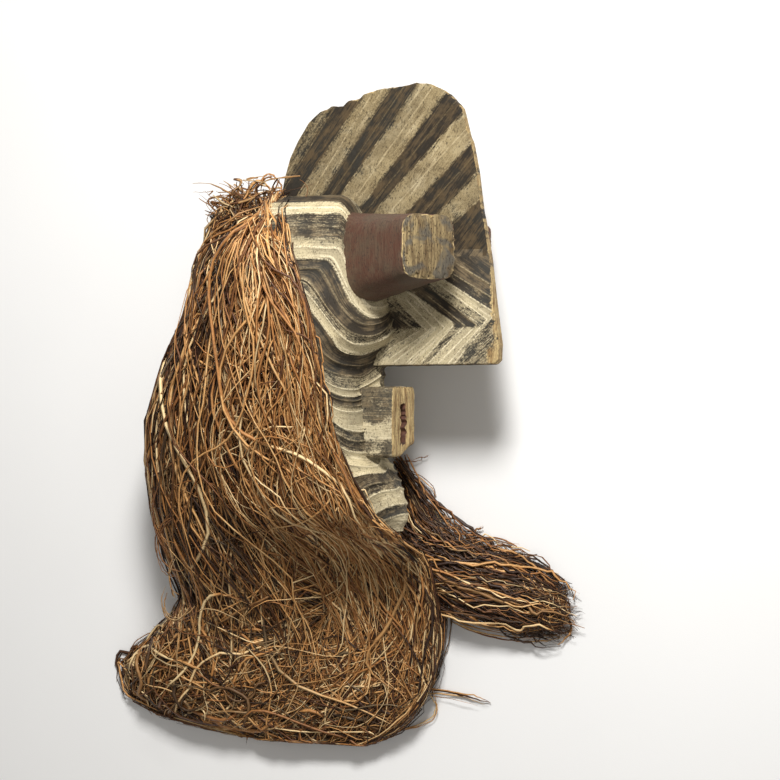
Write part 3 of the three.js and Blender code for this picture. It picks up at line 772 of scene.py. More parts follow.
def beyond(point, a, b):
    """Above zero where the point is on the right of the line from a to b."""
    return (b[0] - a[0]) * (a[1] - point[1]) - (b[1] - a[1]) * (a[0] - point[0])


fan = [(seen_at(*foot, PLATE_FACE), seen_at(*head, PLATE_FACE), border) for foot, head, border in FAN]
CHEVRONS_BELOW = seen_at(0, 255)[1]
NOSE_TURNS = seen_at(0, 328)[1]
TONE_STEPS = [Vector((math.cos(a), math.sin(a))) for a in np.linspace(0, 2 * math.pi, 6, endpoint=False)]
chevrons = [tuple(p and seen_at(*p, PLATE_FACE) for p in arms) for arms in CHEVRONS]
lines = [(foot, head) for foot, head, _ in fan]
for start, turning, end in chevrons:
    lines.append((start, turning))
    if end:
        lines.append((turning, end))


def plate_tone(depth, height):
    point = (depth, height)
    inside = height < CHEVRONS_BELOW and sum(
        1 for start, turning, end in chevrons
        if beyond(point, start, turning) > 0 and (not end or beyond(point, turning, end) > 0)
    )
    if inside:
        return CHEVRON_TONES[inside - 1][int(height < NOSE_TURNS)]
    return FAN_TONES[sum(1 for foot, head, border in fan if border and beyond(point, foot, head) > 0)]


def blended_tone(depth, height):
    """The paint round a point of the plate: whole inside a stripe, and mixed near its ragged edge."""
    loose = 1.0 if height > CHEVRONS_BELOW else NOSE_NEATER
    waver = Vector([bumps(depth / 6, height / 6, seed) for seed in (2.5, 8.5)]) * TONE_WAVER
    waver *= loose
    around = [waver + step * TONE_REACH * loose for step in TONE_STEPS]
    tones = [plate_tone(depth + step.x, height + step.y) for step in (waver, waver, *around)]
    return sum(tones) / len(tones)


print(len(lines), "lines on the plate")

# %% Cutting the plate along its lines


def near_line(bm, a, b, reach):
    """The faces whose middles lie within the reach of the line, with their edges and corners."""
    a, b = Vector(a), Vector(b)
    run = b - a
    found = []
    for face in bm.faces:
        middle = face.calc_center_median().to_2d()
        t = min(max((middle - a).dot(run) / run.length_squared, 0), 1)
        if (a + run * t - middle).length < reach:
            found.append(face)
    edges = dict.fromkeys(e for face in found for e in face.edges)
    corners = dict.fromkeys(v for face in found for v in face.verts)
    return [*corners, *edges, *found]


def cut_across(bm, place, normal):
    bmesh.ops.bisect_plane(bm, geom=[*bm.verts, *bm.edges, *bm.faces], plane_co=place, plane_no=normal)


for depth in np.arange(PLATE_MESH, PLATE_FRONT, PLATE_MESH):
    cut_across(plate, (depth, 0, 0), (1, 0, 0))
for height in np.arange(PLATE_FOOT + PLATE_MESH, CREST_TOP, PLATE_MESH):
    cut_across(plate, (0, height, 0), (0, 1, 0))
for a, b in lines:
    across = Vector((b[1] - a[1], a[0] - b[0], 0)).normalized()
    for shift in (-TONE_REACH, -LINE_HALF, 0, LINE_HALF, TONE_REACH):
        bmesh.ops.bisect_plane(
            plate, geom=near_line(plate, a, b, PLATE_MESH), dist=1e-3,
            plane_co=Vector((*a, 0)) + across * shift, plane_no=across,
        )
bmesh.ops.remove_doubles(plate, verts=plate.verts, dist=0.05)
print("plate cut into", len(plate.faces), "faces")

# %% Lifting the ridges and marking the paint
BARE_EDGE = 1.6  # the wood is bare this far in from the crest's front edge, in mm
NOSE_BARE = 6  # and this much further on the nose, whose paint is rubbed away
NOSE_BARE_FROM = (seen_at(0, 272)[1], seen_at(0, 318)[1])  # from where on, and where in full
CORNER = seen_at(494, 356, PLATE_FACE)  # the nose's worn front corner
CORNER_BARE = 17
TOP_BARE = 3.0
DULL_RIDGE, BRIGHT_RIDGE = 0.42, 0.80  # how bright a ridge is painted, rubbed paint and painted highlight, beside the crest's dark paint, and elsewhere
# the marks of faces that face down under the nose: dark paint as painted shade, with some bare wood
SHADE_UNDER_NOSE = (0.12, 0, 0.35, 0)


def gaps_to(points, segments):
    """The distance from each point to each segment."""
    a = np.array([s[0] for s in segments])[None]
    run = np.array([s[1] for s in segments])[None] - a
    t = np.clip(((points[:, None] - a) * run).sum(2) / (run ** 2).sum(2), 0, 1)
    return np.linalg.norm(a + run * t[..., None] - points[:, None], axis=2)


plate.verts.index_update()
flat = np.array([(v.co.x, v.co.y) for v in plate.verts])
to_lines = gaps_to(flat, lines).min(1)
front_edge = [p for p in CREST if p[0] > 200 and p[1] > 220]
to_front = gaps_to(flat, list(zip(front_edge, front_edge[1:]))).min(1)
back_edge = CREST[1:20]
to_top = gaps_to(flat, list(zip(back_edge, back_edge[1:]))).min(1)
for i, v in enumerate(plate.verts):
    depth, height, z = v.co
    taper = crest_half(depth, height) / BLANK_HALF
    on_side = abs(z) > 0.99 * BLANK_HALF
    lift = LINE_LIFT * max(1 - to_lines[i] / LINE_HALF, 0) if on_side else 0
    knife = 0.45 * bumps(depth / 14, height / 14, z) if on_side else 0
    v.co.z = z * taper + math.copysign(lift + knife, z)
on_sides = [v.index for v in plate.verts if abs(v.co.z) > 0.8 * crest_half(*flat[v.index])]
side_tones = {i: blended_tone(*flat[i]) for i in on_sides}
layer = plate.loops.layers.float_color.new("carving")
for face in plate.faces:
    middle = face.calc_center_median()
    middle_tone = plate_tone(middle.x, middle.y)
    flank = abs(face.normal.z) < 0.6
    # a face that faces down takes the painted shade under the nose
    under = face.normal.y < -0.7
    for loop in face.loops:
        i = loop.vert.index
        tone = side_tones.get(i, middle_tone)
        worn = bumps(*flat[i] / 7.0, 1.7) + 0.5 * bumps(*flat[i] / 2.6, 5.2)
        low = smooth(NOSE_BARE_FROM[0] - flat[i][1], 0, NOSE_BARE_FROM[0] - NOSE_BARE_FROM[1])
        reach = BARE_EDGE + NOSE_BARE * low + worn * (2 + 4 * low)
        bare = smooth(reach - to_front[i], -1.5, 3.5) * (0.95 if flank else 0.6)
        to_corner = math.hypot(flat[i][0] - CORNER[0], flat[i][1] - CORNER[1])
        bare = max(bare, 0.66 * smooth(CORNER_BARE + 5 * worn - to_corner, 0, 6))
        bare = max(bare, 0.55 * smooth(TOP_BARE + 3 * worn - to_top[i], 0, 3))
        bright = tone > 0.5 or flat[i][1] < CHEVRONS_BELOW
        ridge = max(1 - to_lines[i] / 1.1, 0) * (BRIGHT_RIDGE if bright else DULL_RIDGE)
        loop[layer] = SHADE_UNDER_NOSE if under else (tone, ridge, bare, 0)

stripes_run = (Vector(fan[7][1]) - Vector(fan[7][0])).normalized()
arms_run = [Vector((1, -0.72)).normalized(), Vector((1, 0.86)).normalized()]


def plate_stroke(v, face):
    middle = face.calc_center_median()
    run = stripes_run
    if middle.y < CHEVRONS_BELOW:
        run = arms_run[0] if middle.y > NOSE_TURNS else arms_run[1]
    return v.co.x * run.x + v.co.y * run.y, v.co.x * run.y - v.co.y * run.x


stroke_map(plate, plate_stroke)
for face in plate.faces:
    # The crest above the chevrons takes the copy darkened by a painted shade.
    face.material_index = SHADED_CREST if face.calc_center_median().y > CHEVRONS_BELOW else STRIPED
plate_part = to_object(plate, "plate_part", wood=None)
print("plate:", len(plate_part.data.polygons), "faces")

# %% [markdown]
# Each eye is a blunt cone that grows out of the brow and turns into a squarer block at its cut end. It
# starts as a cylinder with many rings, whose points are moved on to rounded squares that shrink along the
# way. The side keeps its red paint. The cut end is bare wood, rough from the saw and crumbling at the edge.

# %% The eyes
EYE_ROOT = Vector((91, 338, 36))
EYE_END = Vector((224, 350, 105))
EYE_ROOT_HALF = (31, 54)
EYE_END_HALF = (40, 37)
EYE_SPLAY = math.radians(30)
EYE_SIDES = 96
EYE_RINGS = 44
END_RINGS = 12
EYE_SQUARENESS = (2.2, 4.5)  # at the root and at the cut end
CHIPS = 4.5  # how deep the deepest chips in the cut end's edge are, in mm
CHIP_SHRINKS = 0.03  # how much narrower the end is at a chip, as a share for each mm of its depth


def eye_part(side):
    bm = bmesh.new()
    bmesh.ops.create_cone(bm, cap_ends=True, segments=EYE_SIDES, radius1=1, radius2=1, depth=2)
    rungs = [e for e in bm.edges if abs(e.verts[0].co.z - e.verts[1].co.z) > 1]
    bmesh.ops.subdivide_edges(bm, edges=rungs, cuts=EYE_RINGS, use_grid_fill=True)
    cut_end = [f for f in bm.faces if f.normal.z > 0.9]
    for _ in range(END_RINGS):
        bmesh.ops.inset_region(bm, faces=cut_end, thickness=0.97 / END_RINGS, depth=0)
    ends = {v for f in bm.faces if f.normal.z > 0.9 for v in f.verts}
    outward = Vector((-math.sin(EYE_SPLAY), 0, side * math.cos(EYE_SPLAY)))
    ahead = Vector((math.cos(EYE_SPLAY), 0, side * math.sin(EYE_SPLAY)))
    marks = {}
    for v in bm.verts:
        t, r, angle = (v.co.z + 1) / 2, min(math.hypot(v.co.x, v.co.y), 1), math.atan2(v.co.y, v.co.x)
        squareness = lerp(*EYE_SQUARENESS, t)
        c, s = math.cos(angle), math.sin(angle)
        reach = (abs(c) ** squareness + abs(s) ** squareness) ** (-1 / squareness)
        swell = 1 + (1 - t) ** 2 * 0.12
        half_wide, half_tall = (lerp(root, end, t) for root, end in zip(EYE_ROOT_HALF, EYE_END_HALF))
        wide = r * reach * c * half_wide * swell
        tall = r * reach * s * half_tall * swell
        middle = EYE_ROOT.lerp(EYE_END, t)
        middle.z *= side
        spot = middle + outward * wide + Vector((0, tall, 0))
        grainy = bumps(spot.x / 3.2, spot.y / 16, spot.z / 3.2)
        lumps = noise.noise(spot / 17)
        chip = max(noise.noise(spot / 5.5) + 0.5 * noise.noise(spot / 2.2) + 0.05, 0) * CHIPS
        if v in ends:
            spot += ahead * (1.2 * grainy + 0.9 * lumps - 2.2 * r ** 9 - chip * smooth(r, 0.72, 1))
            spot += (middle - spot) * CHIP_SHRINKS * chip * smooth(r, 0.8, 1)
        else:
            near_end = smooth(t, 0.955, 1)
            spot = middle + (spot - middle) * (1 + (0.010 * lumps + 0.008 * grainy))
            spot -= ahead * (0.5 + chip) * near_end
            spot += (middle - spot) * CHIP_SHRINKS * chip * near_end
        chipped = smooth(t, 0.94, 1.0) * (0.55 + 0.5 * lumps + 0.25 * chip)
        marks[v] = (0.2, 0, chipped, 1)
        v.co = spot
    bmesh.ops.recalc_face_normals(bm, faces=bm.faces)
    for f in bm.faces:
        f.material_index = BARE if all(v in ends for v in f.verts) else RED
    stroke_map(bm, lambda v, f: (v.co.y, v.co.x + v.co.z))
    return to_object(bm, "eye_part", lambda v, f: marks[v], wood=None)


eye_parts = [eye_part(1), eye_part(-1)]
print("eyes:", [len(o.data.polygons) for o in eye_parts], "faces")

# %% [markdown]
# The mouth is a block that juts from the face, with an upright slot right through it. Its front is bare
# pale wood where the paint has gone, and the lower corner on the far side has split away along the grain.

# %% The mouth
MOUTH_LOW, MOUTH_HIGH, MOUTH_FRONT, MOUTH_BACK, MOUTH_HALF = 106, 190, 153, 100, 33
MOUTH_CUTS = 30
MOUTH_ROUND, SLOT_ROUND = 16, 9  # how sharp the edges of the block and of its slot are
SPLIT_AWAY = 13  # how much of the lower corner has split away, in mm
PATCH_LOW, PATCH_HIGH = (124, 134), (140, 152)  # where the paler paint on the block's side starts and ends


def rounded_block(cuts, roundness):
    """A cube from -1 to 1 with worn edges."""
    bm = bmesh.new()
    bmesh.ops.create_cube(bm, size=2)
    bmesh.ops.subdivide_edges(bm, edges=bm.edges, cuts=cuts, use_grid_fill=True)
    for v in bm.verts:
        v.co = v.co / sum(abs(c) ** roundness for c in v.co) ** (1 / roundness)
    return bm


bm = rounded_block(MOUTH_CUTS, MOUTH_ROUND)
marks = {}
for v in bm.verts:
    x, y, z = v.co
    front = smooth(x, 0.2, 0.95)
    depth = lerp(MOUTH_BACK, MOUTH_FRONT, (x + 1) / 2)
    height = lerp(MOUTH_LOW, MOUTH_HIGH, (y + 1) / 2)
    right = z * MOUTH_HALF
    splinter = bumps(right / 2.2, depth / 9, 4.4)
    crack = bumps(right / 2.6, height / 34, 7.7) + 0.5 * bumps(right / 1.1, height / 22, 1.2)
    far = smooth(-z, -0.2, 0.7)
    if y < 0:
        height += front * far * SPLIT_AWAY * (-y) + splinter * 3.2 * smooth(-y, 0.6, 1) * smooth(x, 0.1, 0.9)
    height += y * 2.4 * splinter * smooth(x, 0.4, 0.95) * smooth(abs(y), 0.6, 1)
    depth += 4 * front * far + (1.6 * crack - 6 * max(crack - 0.34, 0)) * smooth(x, 0.9, 1)
    right += 0.6 * bumps(depth / 9, height / 13, 2.0)
    lip = smooth(x, 0.86, 0.965)
    patch = bumps(depth / 12, height / 9, right / 14)
    tone = 0.34 + 0.34 * patch + 0.5 * smooth(height, *PATCH_LOW) * (1 - smooth(height, *PATCH_HIGH))
    bare = max(lip * (0.95 if y > -0.95 else 0.7), 0.5 * smooth(-y, 0.9, 1) * front)
    marks[v] = (tone, 0.15, bare, 0)
    v.co = (depth, height, right)
bmesh.ops.recalc_face_normals(bm, faces=bm.faces)
stroke_map(bm, lambda v, f: (v.co.x * 0.6 + v.co.z, v.co.y))
mouth_part = to_object(bm, "mouth_part", lambda v, f: marks[v])
print("mouth:", len(mouth_part.data.polygons), "faces")

# %% [markdown]
# What is cut away is made in the same manner: the hollow behind the face, the slot of the mouth, the
# holes for the lacing along the rim, and the flat that the left eye rests on.

# %% What is cut away
SLOT_LOW, SLOT_HIGH, SLOT_HALF = 119, 169, 10.5
SLOT_BACK, SLOT_FRONT, SLOT_CUTS = 58, 175, 24
HOLLOW_LINES, HOLLOW_ACROSS, HOLLOW_BACK = 60, 36, 30
INSIDE_MARKS = (0, 0, 1, 0)  # tone, ridge, bare and red
SLOT_MARKS = (0.0, 0, 0.1, 0.42)
HOLE_MARKS = (0.1, 0, 0.6, 0)
FLAT_MARKS = (0.2, 0, 1, 0)
HOLES, HOLES_FROM, HOLES_TO, HOLE_RADIUS, HOLE_SETBACK = 7, 0.16, 0.93, 2.8, 14


def hollow_edge_points():
    """The rim's outline a wall's thickness further in, closed to a point at the chin and the crown."""
    kept = []
    for i in range(25):
        here, ahead, behind = (rim_at(min(max(i / 24 + d, 0), 1)) for d in (0, 0.004, -0.004))
        run = (Vector(ahead) - Vector(behind)).normalized()
        width, height = here[0] - run.y * WALL, here[1] + run.x * WALL
        if width > WALL / 2 and height > 30:
            kept.append((width, height))
    top = FACE_TOP - WALL
    return [(0, kept[0][1] - 4), *[p for p in kept if p[1] < top], (0, top)]


hollow_at, _ = by_length(hollow_edge_points())
bm, _, side_layer = face_sheet(hollow_at, HOLLOW_LINES, HOLLOW_ACROSS, WALL)
bm.normal_update()
for v in bm.verts:
    if abs(v[side_layer]) < 0.98:
        v.co += v.normal * 1.1 * bumps(v.co.x / 16, v.co.y / 34, v.co.z / 16)
close_back(bm, HOLLOW_BACK)
hollow_part = to_object(bm, "hollow_part", lambda v, f: INSIDE_MARKS, HOLLOW)

bm = rounded_block(SLOT_CUTS, SLOT_ROUND)
for v in bm.verts:
    x, y, z = v.co
    height = lerp(SLOT_LOW, SLOT_HIGH, (y + 1) / 2)
    chipped = 0.85 + 0.75 * bumps(x * 1.6, height / 6, math.copysign(3, z))
    height += 5 * bumps(z * 2.5, x * 2, math.copysign(5, y)) * abs(y)
    v.co = (lerp(SLOT_BACK, SLOT_FRONT, (x + 1) / 2), height, z * SLOT_HALF * chipped * 0.8)
bmesh.ops.recalc_face_normals(bm, faces=bm.faces)
slot_part = to_object(bm, "slot_part", lambda v, f: SLOT_MARKS)


def lacing_hole(share, side):
    width, height = rim_at(share)
    bm = bmesh.new()
    bmesh.ops.create_cone(bm, cap_ends=True, segments=12, radius1=HOLE_RADIUS, radius2=HOLE_RADIUS, depth=70)
    lean = Vector((0, (height - 210) * 0.6, width * side)).to_track_quat("Z", "Y").to_matrix()
    middle = Vector((rim_depth(height) + HOLE_SETBACK, height, width * side))
    bmesh.ops.transform(bm, matrix=Matrix.Translation(middle) @ lean.to_4x4(), verts=bm.verts)
    return to_object(bm, "hole_part", lambda v, f: HOLE_MARKS)


hole_shares = [lerp(HOLES_FROM, HOLES_TO, i / (HOLES - 1)) for i in range(HOLES)]
hole_parts = [lacing_hole(share, side) for side in (1, -1) for share in hole_shares]

bm = bmesh.new()
bmesh.ops.create_cube(bm, size=1)
for v in bm.verts:
    v.co = (lerp(-50, 350, v.co.x + 0.5), lerp(-50, 650, v.co.y + 0.5), -EYE_FLAT - 50 + 100 * v.co.z)
below_part = to_object(bm, "below_part", lambda v, f: FLAT_MARKS, BARE)
print(len(hole_parts), "lacing holes")

# %% [markdown]
# The mask was carved from one log, so the parts are joined into one closed skin, and the hollow, slot and
# holes are cut out of it. Boolean modifiers do both and keep the marks on every corner. The result is
# applied and the parts are thrown away.

# %% One piece of wood
SHARP_ANGLE = math.radians(42)


def join_and_cut(body, joined, cut):
    for others, operation in ((joined, "UNION"), (cut, "DIFFERENCE")):
        for other in others:
            step = body.modifiers.new(operation.lower(), "BOOLEAN")
            step.operation = operation
            step.solver = "MANIFOLD"
            step.object = other
            step.material_mode = "TRANSFER"
    bpy.context.view_layer.update()
    mesh = bpy.data.meshes.new_from_object(body.evaluated_get(bpy.context.evaluated_depsgraph_get()))
    for part in (body, *joined, *cut):
        bpy.data.objects.remove(part)
    return mesh


wood_mesh = join_and_cut(
    face_part, [plate_part, *eye_parts, mouth_part], [hollow_part, slot_part, *hole_parts, below_part]
)
bm = bmesh.new()
bm.from_mesh(wood_mesh)
bmesh.ops.remove_doubles(bm, verts=bm.verts, dist=0.00002)
bmesh.ops.dissolve_degenerate(bm, edges=bm.edges, dist=0.00002)
bmesh.ops.triangulate(bm, faces=bm.faces)
open_edges = sum(1 for e in bm.edges if not e.is_manifold)
bm.to_mesh(wood_mesh)
bm.free()
wood_mesh.set_sharp_from_angle(angle=SHARP_ANGLE)
carved_mask = new_object("carved_mask", wood_mesh)
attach(carved_mask, "root")
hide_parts("mask")
print("carved mask:", len(wood_mesh.polygons), "triangles,", open_edges, "open edges,",
      [m.name for m in wood_mesh.materials])

# %% [markdown]
# Raffia is the skin of a palm leaf, split into thin dry ribbons. No two have the same colour: most are
# golden brown and some are bright straw. Each strand carries its own tint and how deep it lies, and the
# material reads those two: a strand that lies below the heap's surface is painted nearly black, a painted
# shade for the folds. Fine streaks and blotches break the tint along the strand.

# %% The raffia's material
RAFFIA_TINTS = [
    (0.00, colour(0.075, 0.026, 0.009)), (0.28, colour(0.22, 0.086, 0.024)),
    (0.52, colour(0.44, 0.195, 0.056)), (0.76, colour(0.66, 0.36, 0.13)), (1.00, colour(0.88, 0.64, 0.33)),
]
# painted shade: the colour that strands lying below the heap's surface are darkened toward
FOLD_SHADE_COLOUR = colour(0.022, 0.008, 0.003)

raffia, tree, shader = new_material("raffia")
own_tint, fold_shade, *_ = marks_of(tree, "strand")
place = object_place(tree)
fine = noisy(tree, place, 260.0, 3.0, 0.6)
blotch = noisy(tree, place, 24.0, 2.0)
tint = times_plus(tree, maths(tree, "SUBTRACT", fine, 0.5), 0.45, own_tint)
tint = times_plus(tree, maths(tree, "SUBTRACT", blotch, 0.5), 0.35, tint)
ramp = node(tree, "ValToRGB", {"Fac": tint})
stops = ramp.color_ramp.elements
while len(stops) < len(RAFFIA_TINTS):
    stops.new(0.5)
for stop, (position, shade) in zip(stops, RAFFIA_TINTS):
    stop.position = position
    stop.color = shade
# a strand that lies deep is mixed toward the painted shade of the folds
base = mixed(tree, steps(tree, fold_shade, 0.0, 1.0, 0.0, 0.95), ramp.outputs[0], FOLD_SHADE_COLOUR)
rough = times_plus(tree, fine, 0.3, 0.38)
finish_material(tree, shader, base, rough, fine, 0.0005, 0.45)
print("raffia tints:", len(RAFFIA_TINTS))

# %% [markdown]
# The fringe is laced through the rim all round. Lying down, the strands from the upper side fall over the
# rim to the floor behind the mask and run on towards the chin, where they end in a tangled pool. The
# solid's own rows say how high the heap is at each place.

# %% The form of the heap
FRINGE = np.array([  # up, back edge, front edge, height of the heap, height at the rim
    (-254, -95, 52, 22, 16), (-240, -205, 86, 38, 26), (-212, -268, 118, 46, 32),
    (-172, -278, 146, 52, 36), (-126, -228, 156, 64, 42), (-80, -180, 158, 92, 52),
    (-30, -203, 157, 128, 78), (2, -210, 153, 146, 118), (20, -212, 150, 156, 158),
    (42, -212, 125, 168, 188), (90, -212, 103, 186, 210), (150, -205, 92, 202, 234),
    (234, -165, 87, 218, 256), (282, -135, 77, 226, 263), (342, -115, 55, 226, 264),
    (400, -85, 32, 206, 226), (420, -62, 14, 172, 186),
], float)
BACK, FRONT, PILE, LIP = 1, 2, 3, 4
CROWD = 0.8  # the columns lie closer together towards the mask
HEAP_FULL_AT = 0.45
HEAP_FALLS = (0.2, 0.62)
HEAP_ROUND = 2.4
HEAP_EDGE = 5
NOTHING_UNDER = -1e3
rim_rows = np.array([rim_at(s) for s in np.linspace(0, 1, 80)])


def heap(up, column):
    return np.interp(up, FRINGE[:, 0], FRINGE[:, column])


def smooth_many(value, low, high):
    t = np.clip((value - low) / (high - low), 0, 1)
    return t * t * (3 - 2 * t)


def column_at(up, share):
    return heap(up, FRONT) + (heap(up, BACK) - heap(up, FRONT)) * share ** CROWD


def heap_top(forward, up):
    """How high the heap's surface is above the floor, in mm."""
    back, front = heap(up, BACK), heap(up, FRONT)
    share = np.clip((forward - front) / (back - front), 0, 1) ** (1 / CROWD)
    rise = np.minimum((1 - share) / HEAP_FULL_AT, 1)
    edge = np.maximum(1 - (1 - rise) ** HEAP_ROUND, 0) ** (1 / HEAP_ROUND)
    falls = smooth_many(share, *HEAP_FALLS)
    return (heap(up, LIP) * (1 - falls) + heap(up, PILE) * falls) * edge + HEAP_EDGE


def behind_rim(up):
    return rim_depth(up) - 6


def over_wood(forward, up, lift):
    """The lowest that a strand may lie where the mask is under it."""
    width = np.interp(up, rim_rows[:, 1], rim_rows[:, 0])
    on_mask = (forward > behind_rim(up)) & (up > 0) & (up < FACE_TOP)
    return np.where(on_mask, width + lift, NOTHING_UNDER)


print("the heap is", round(float(heap_top(0, 100))), "mm high beside the cheek")

# %% [markdown]
# A strand is walked, a small step at a time: it heads for its own column of the heap, wavers as it goes,
# keeps near the other strands of its lock, and near the end turns aside and curls. A lock stands a little
# above or below its neighbours, which leaves dark furrows between them, and one gap stays open low down in
# front. All the strands of a part walk at once, as arrays. The draws are seeded, so the heap is the same
# every time.

# %% Walking the strands
STRAND_POINTS = 26
FINER = 3  # steps walked for each point that is kept
LOOK_AHEAD = 55
HANGS_FREE = (90, 230)  # between these heights a strand from the crown leaves its column and hangs straight
LOCKS = 34
LOCK_DRAWS = 0.5  # how far a strand is drawn to the middle of its lock
LOCK_RELIEF = 4.5
GAP = (8, -70)  # forward and up
GAP_HALF = (17, 52)
MOST_LOOSE = 22  # how far a strand may lie outside the heap's edge, in mm
EDGE_SPREAD = 30  # over how much of the heap's edge the strands turn back, in mm
WALK_FROM, WALK_TO = 448, -262  # no strand is higher up than the first or lower down than the second
TURNS_BACK_AT, TURNED_BACK = -226, 1.75  # below this a strand turns back, by this angle
LIES_OVER = 45  # over how much of its way a strand turns into the pool, in mm
ROUGH_SHARE, ROUGHER = 0.22, 2.2  # this share of the strands wavers this much more
rng = np.random.default_rng(7)


def wander(count, steps, keep, size):
    """Slowly changing noise, one column for each strand."""
    value = rng.normal(0, size, count)
    rows = [value]
    for _ in range(steps - 1):
        value = value * keep + rng.normal(0, size * math.sqrt(1 - keep * keep), count)
        rows.append(value)
    return np.array(rows)


def walk(start, heading, length, share, layer, pool_from, pool_turn, waver=0.15, hold=0.15, follow_low=1.0):
    """Walks every strand from its start (forward, up) and gives its points (forward, up, right)."""
    count = len(share)
    total = STRAND_POINTS * FINER
    locks = np.clip((share * LOCKS + rng.normal(0, 0.25, count)).astype(int), 0, LOCKS)
    share = lerp(share, (locks + 0.5) / LOCKS, LOCK_DRAWS * rng.random(count))
    own = wander(count, total, 0.93, 1) * waver * np.where(rng.random(count) < ROUGH_SHARE, ROUGHER, 1)
    shared = wander(LOCKS + 1, total, 0.975, 0.10)
    forward, up = start[:, 0].copy(), start[:, 1].copy()
    step = length / total
    loose = np.minimum(rng.exponential(5, count) + rng.choice([0, 12], count, p=[0.85, 0.15]), MOST_LOOSE)
    margin = rng.uniform(-4, EDGE_SPREAD, count)
    kept = []
    for i in range(total):
        if i % FINER == 0:
            kept.append(np.stack([forward, up], 1))
        aim = np.arctan2(column_at(up - LOOK_AHEAD, share) - forward, LOOK_AHEAD)
        aim = aim * (follow_low + (1 - follow_low) * smooth_many(up, *HANGS_FREE))
        lying = smooth_many(pool_from - up, 0, LIES_OVER)
        aim = aim * (1 - lying) + (aim * 0.3 + pool_turn) * lying
        low = smooth_many(TURNS_BACK_AT - up, 0, 26)
        aim = aim * (1 - low) + np.sign(pool_turn) * TURNED_BACK * low
        heading = heading + (aim - heading) * hold + own[i] * 0.55 + shared[i][locks] * 0.35
        back, front = heap(up, BACK) - 4, heap(up, FRONT) + 4
        front = np.where((layer < 0.85) & (up > 0), np.minimum(front, behind_rim(up) - 4), front)
        too_far_back = smooth_many(back + margin - forward, -10, 8)
        too_far_front = smooth_many(forward - (front - margin * 0.6), -10, 8)
        heading += 0.22 * too_far_back - 0.22 * too_far_front
        forward = np.clip(forward + np.sin(heading) * step, back - 3 - loose, front + 1 + loose * 0.4)
        up = np.clip(up - np.cos(heading) * step, WALK_TO, WALK_FROM)
    points = np.array(kept).transpose(1, 0, 2)
    forward, up = points[..., 0], points[..., 1]
    off = forward - GAP[0]
    reach = GAP_HALF[0] * np.clip(1 - ((up - GAP[1]) / GAP_HALF[1]) ** 2, 0, 1)
    forward += np.where(off > 0, 1, -1) * np.maximum(reach - np.abs(off), 0) * (layer > 0.15)[:, None]
    relief = np.clip(wander(LOCKS + 1, STRAND_POINTS, 0.93, LOCK_RELIEF), -9, 6).T[locks]
    height = heap_top(forward, up) * layer[:, None] + wander(count, STRAND_POINTS, 0.85, 1.8).T
    height += relief * (layer > 0.8)[:, None]
    right = np.maximum(height, 1.5) - EYE_FLAT
    right = np.maximum(right, over_wood(forward, up, 2.0 + 5 * rng.random((count, 1))))
    return np.concatenate([points, right[..., None]], 2)


def bend(controls, waver):
    """Smooth paths through four control points each, (strand, 4, 3), with a little wavering."""
    t = np.linspace(0, 1, STRAND_POINTS)[None, :, None]
    a, b, c, d = (controls[:, i][:, None] for i in range(4))
    points = a * (1 - t) ** 3 + b * 3 * t * (1 - t) ** 2 + c * 3 * t * t * (1 - t) + d * t ** 3
    for axis in range(3):
        drift = wander(len(controls), STRAND_POINTS, 0.9, waver).T
        points[..., axis] += drift * np.linspace(0.2, 1, STRAND_POINTS)
    return points


print(LOCKS, "locks, and", STRAND_POINTS, "points to a strand")

# %% [markdown]
# The walked points become curves with a thin three-sided section, wider than it is thick, so that each
# strand is a flat ribbon that twists a little as it goes. A curve's own bevel makes the mesh, and each
# strand comes out with the same number of corners, so its marks can be written on them in order.

# %% Turning walks into strands
SECTION = ((-1, -0.22), (1, -0.22), (0, 0.34))
ON_FLOOR = 0.3  # no part of a strand is lower than this, in mm
ROOT_SHARE = 0.16  # the part of a strand next to its root, which is painted darker, through the same mix as the fold shade
TINT_SPREAD = 0.29
section_data = bpy.data.curves.new("strand_section", "CURVE")
section_line = section_data.splines.new("POLY")
section_line.points.add(len(SECTION) - 1)
section_line.use_cyclic_u = True
for point, (x, y) in zip(section_line.points, SECTION):
    point.co = (x * MM, y * MM, 0, 1)
section = bpy.data.objects.new("strand_section", section_data)
bpy.context.scene.collection.objects.link(section)


def widths(count, broad_share):
    """Half widths in mm: most strands are split fine, a few are left as broad ribbons."""
    fine = rng.gamma(4.0, 0.2, count) + 0.3
    return np.where(rng.random(count) < broad_share, rng.uniform(1.8, 3.2, count), fine)


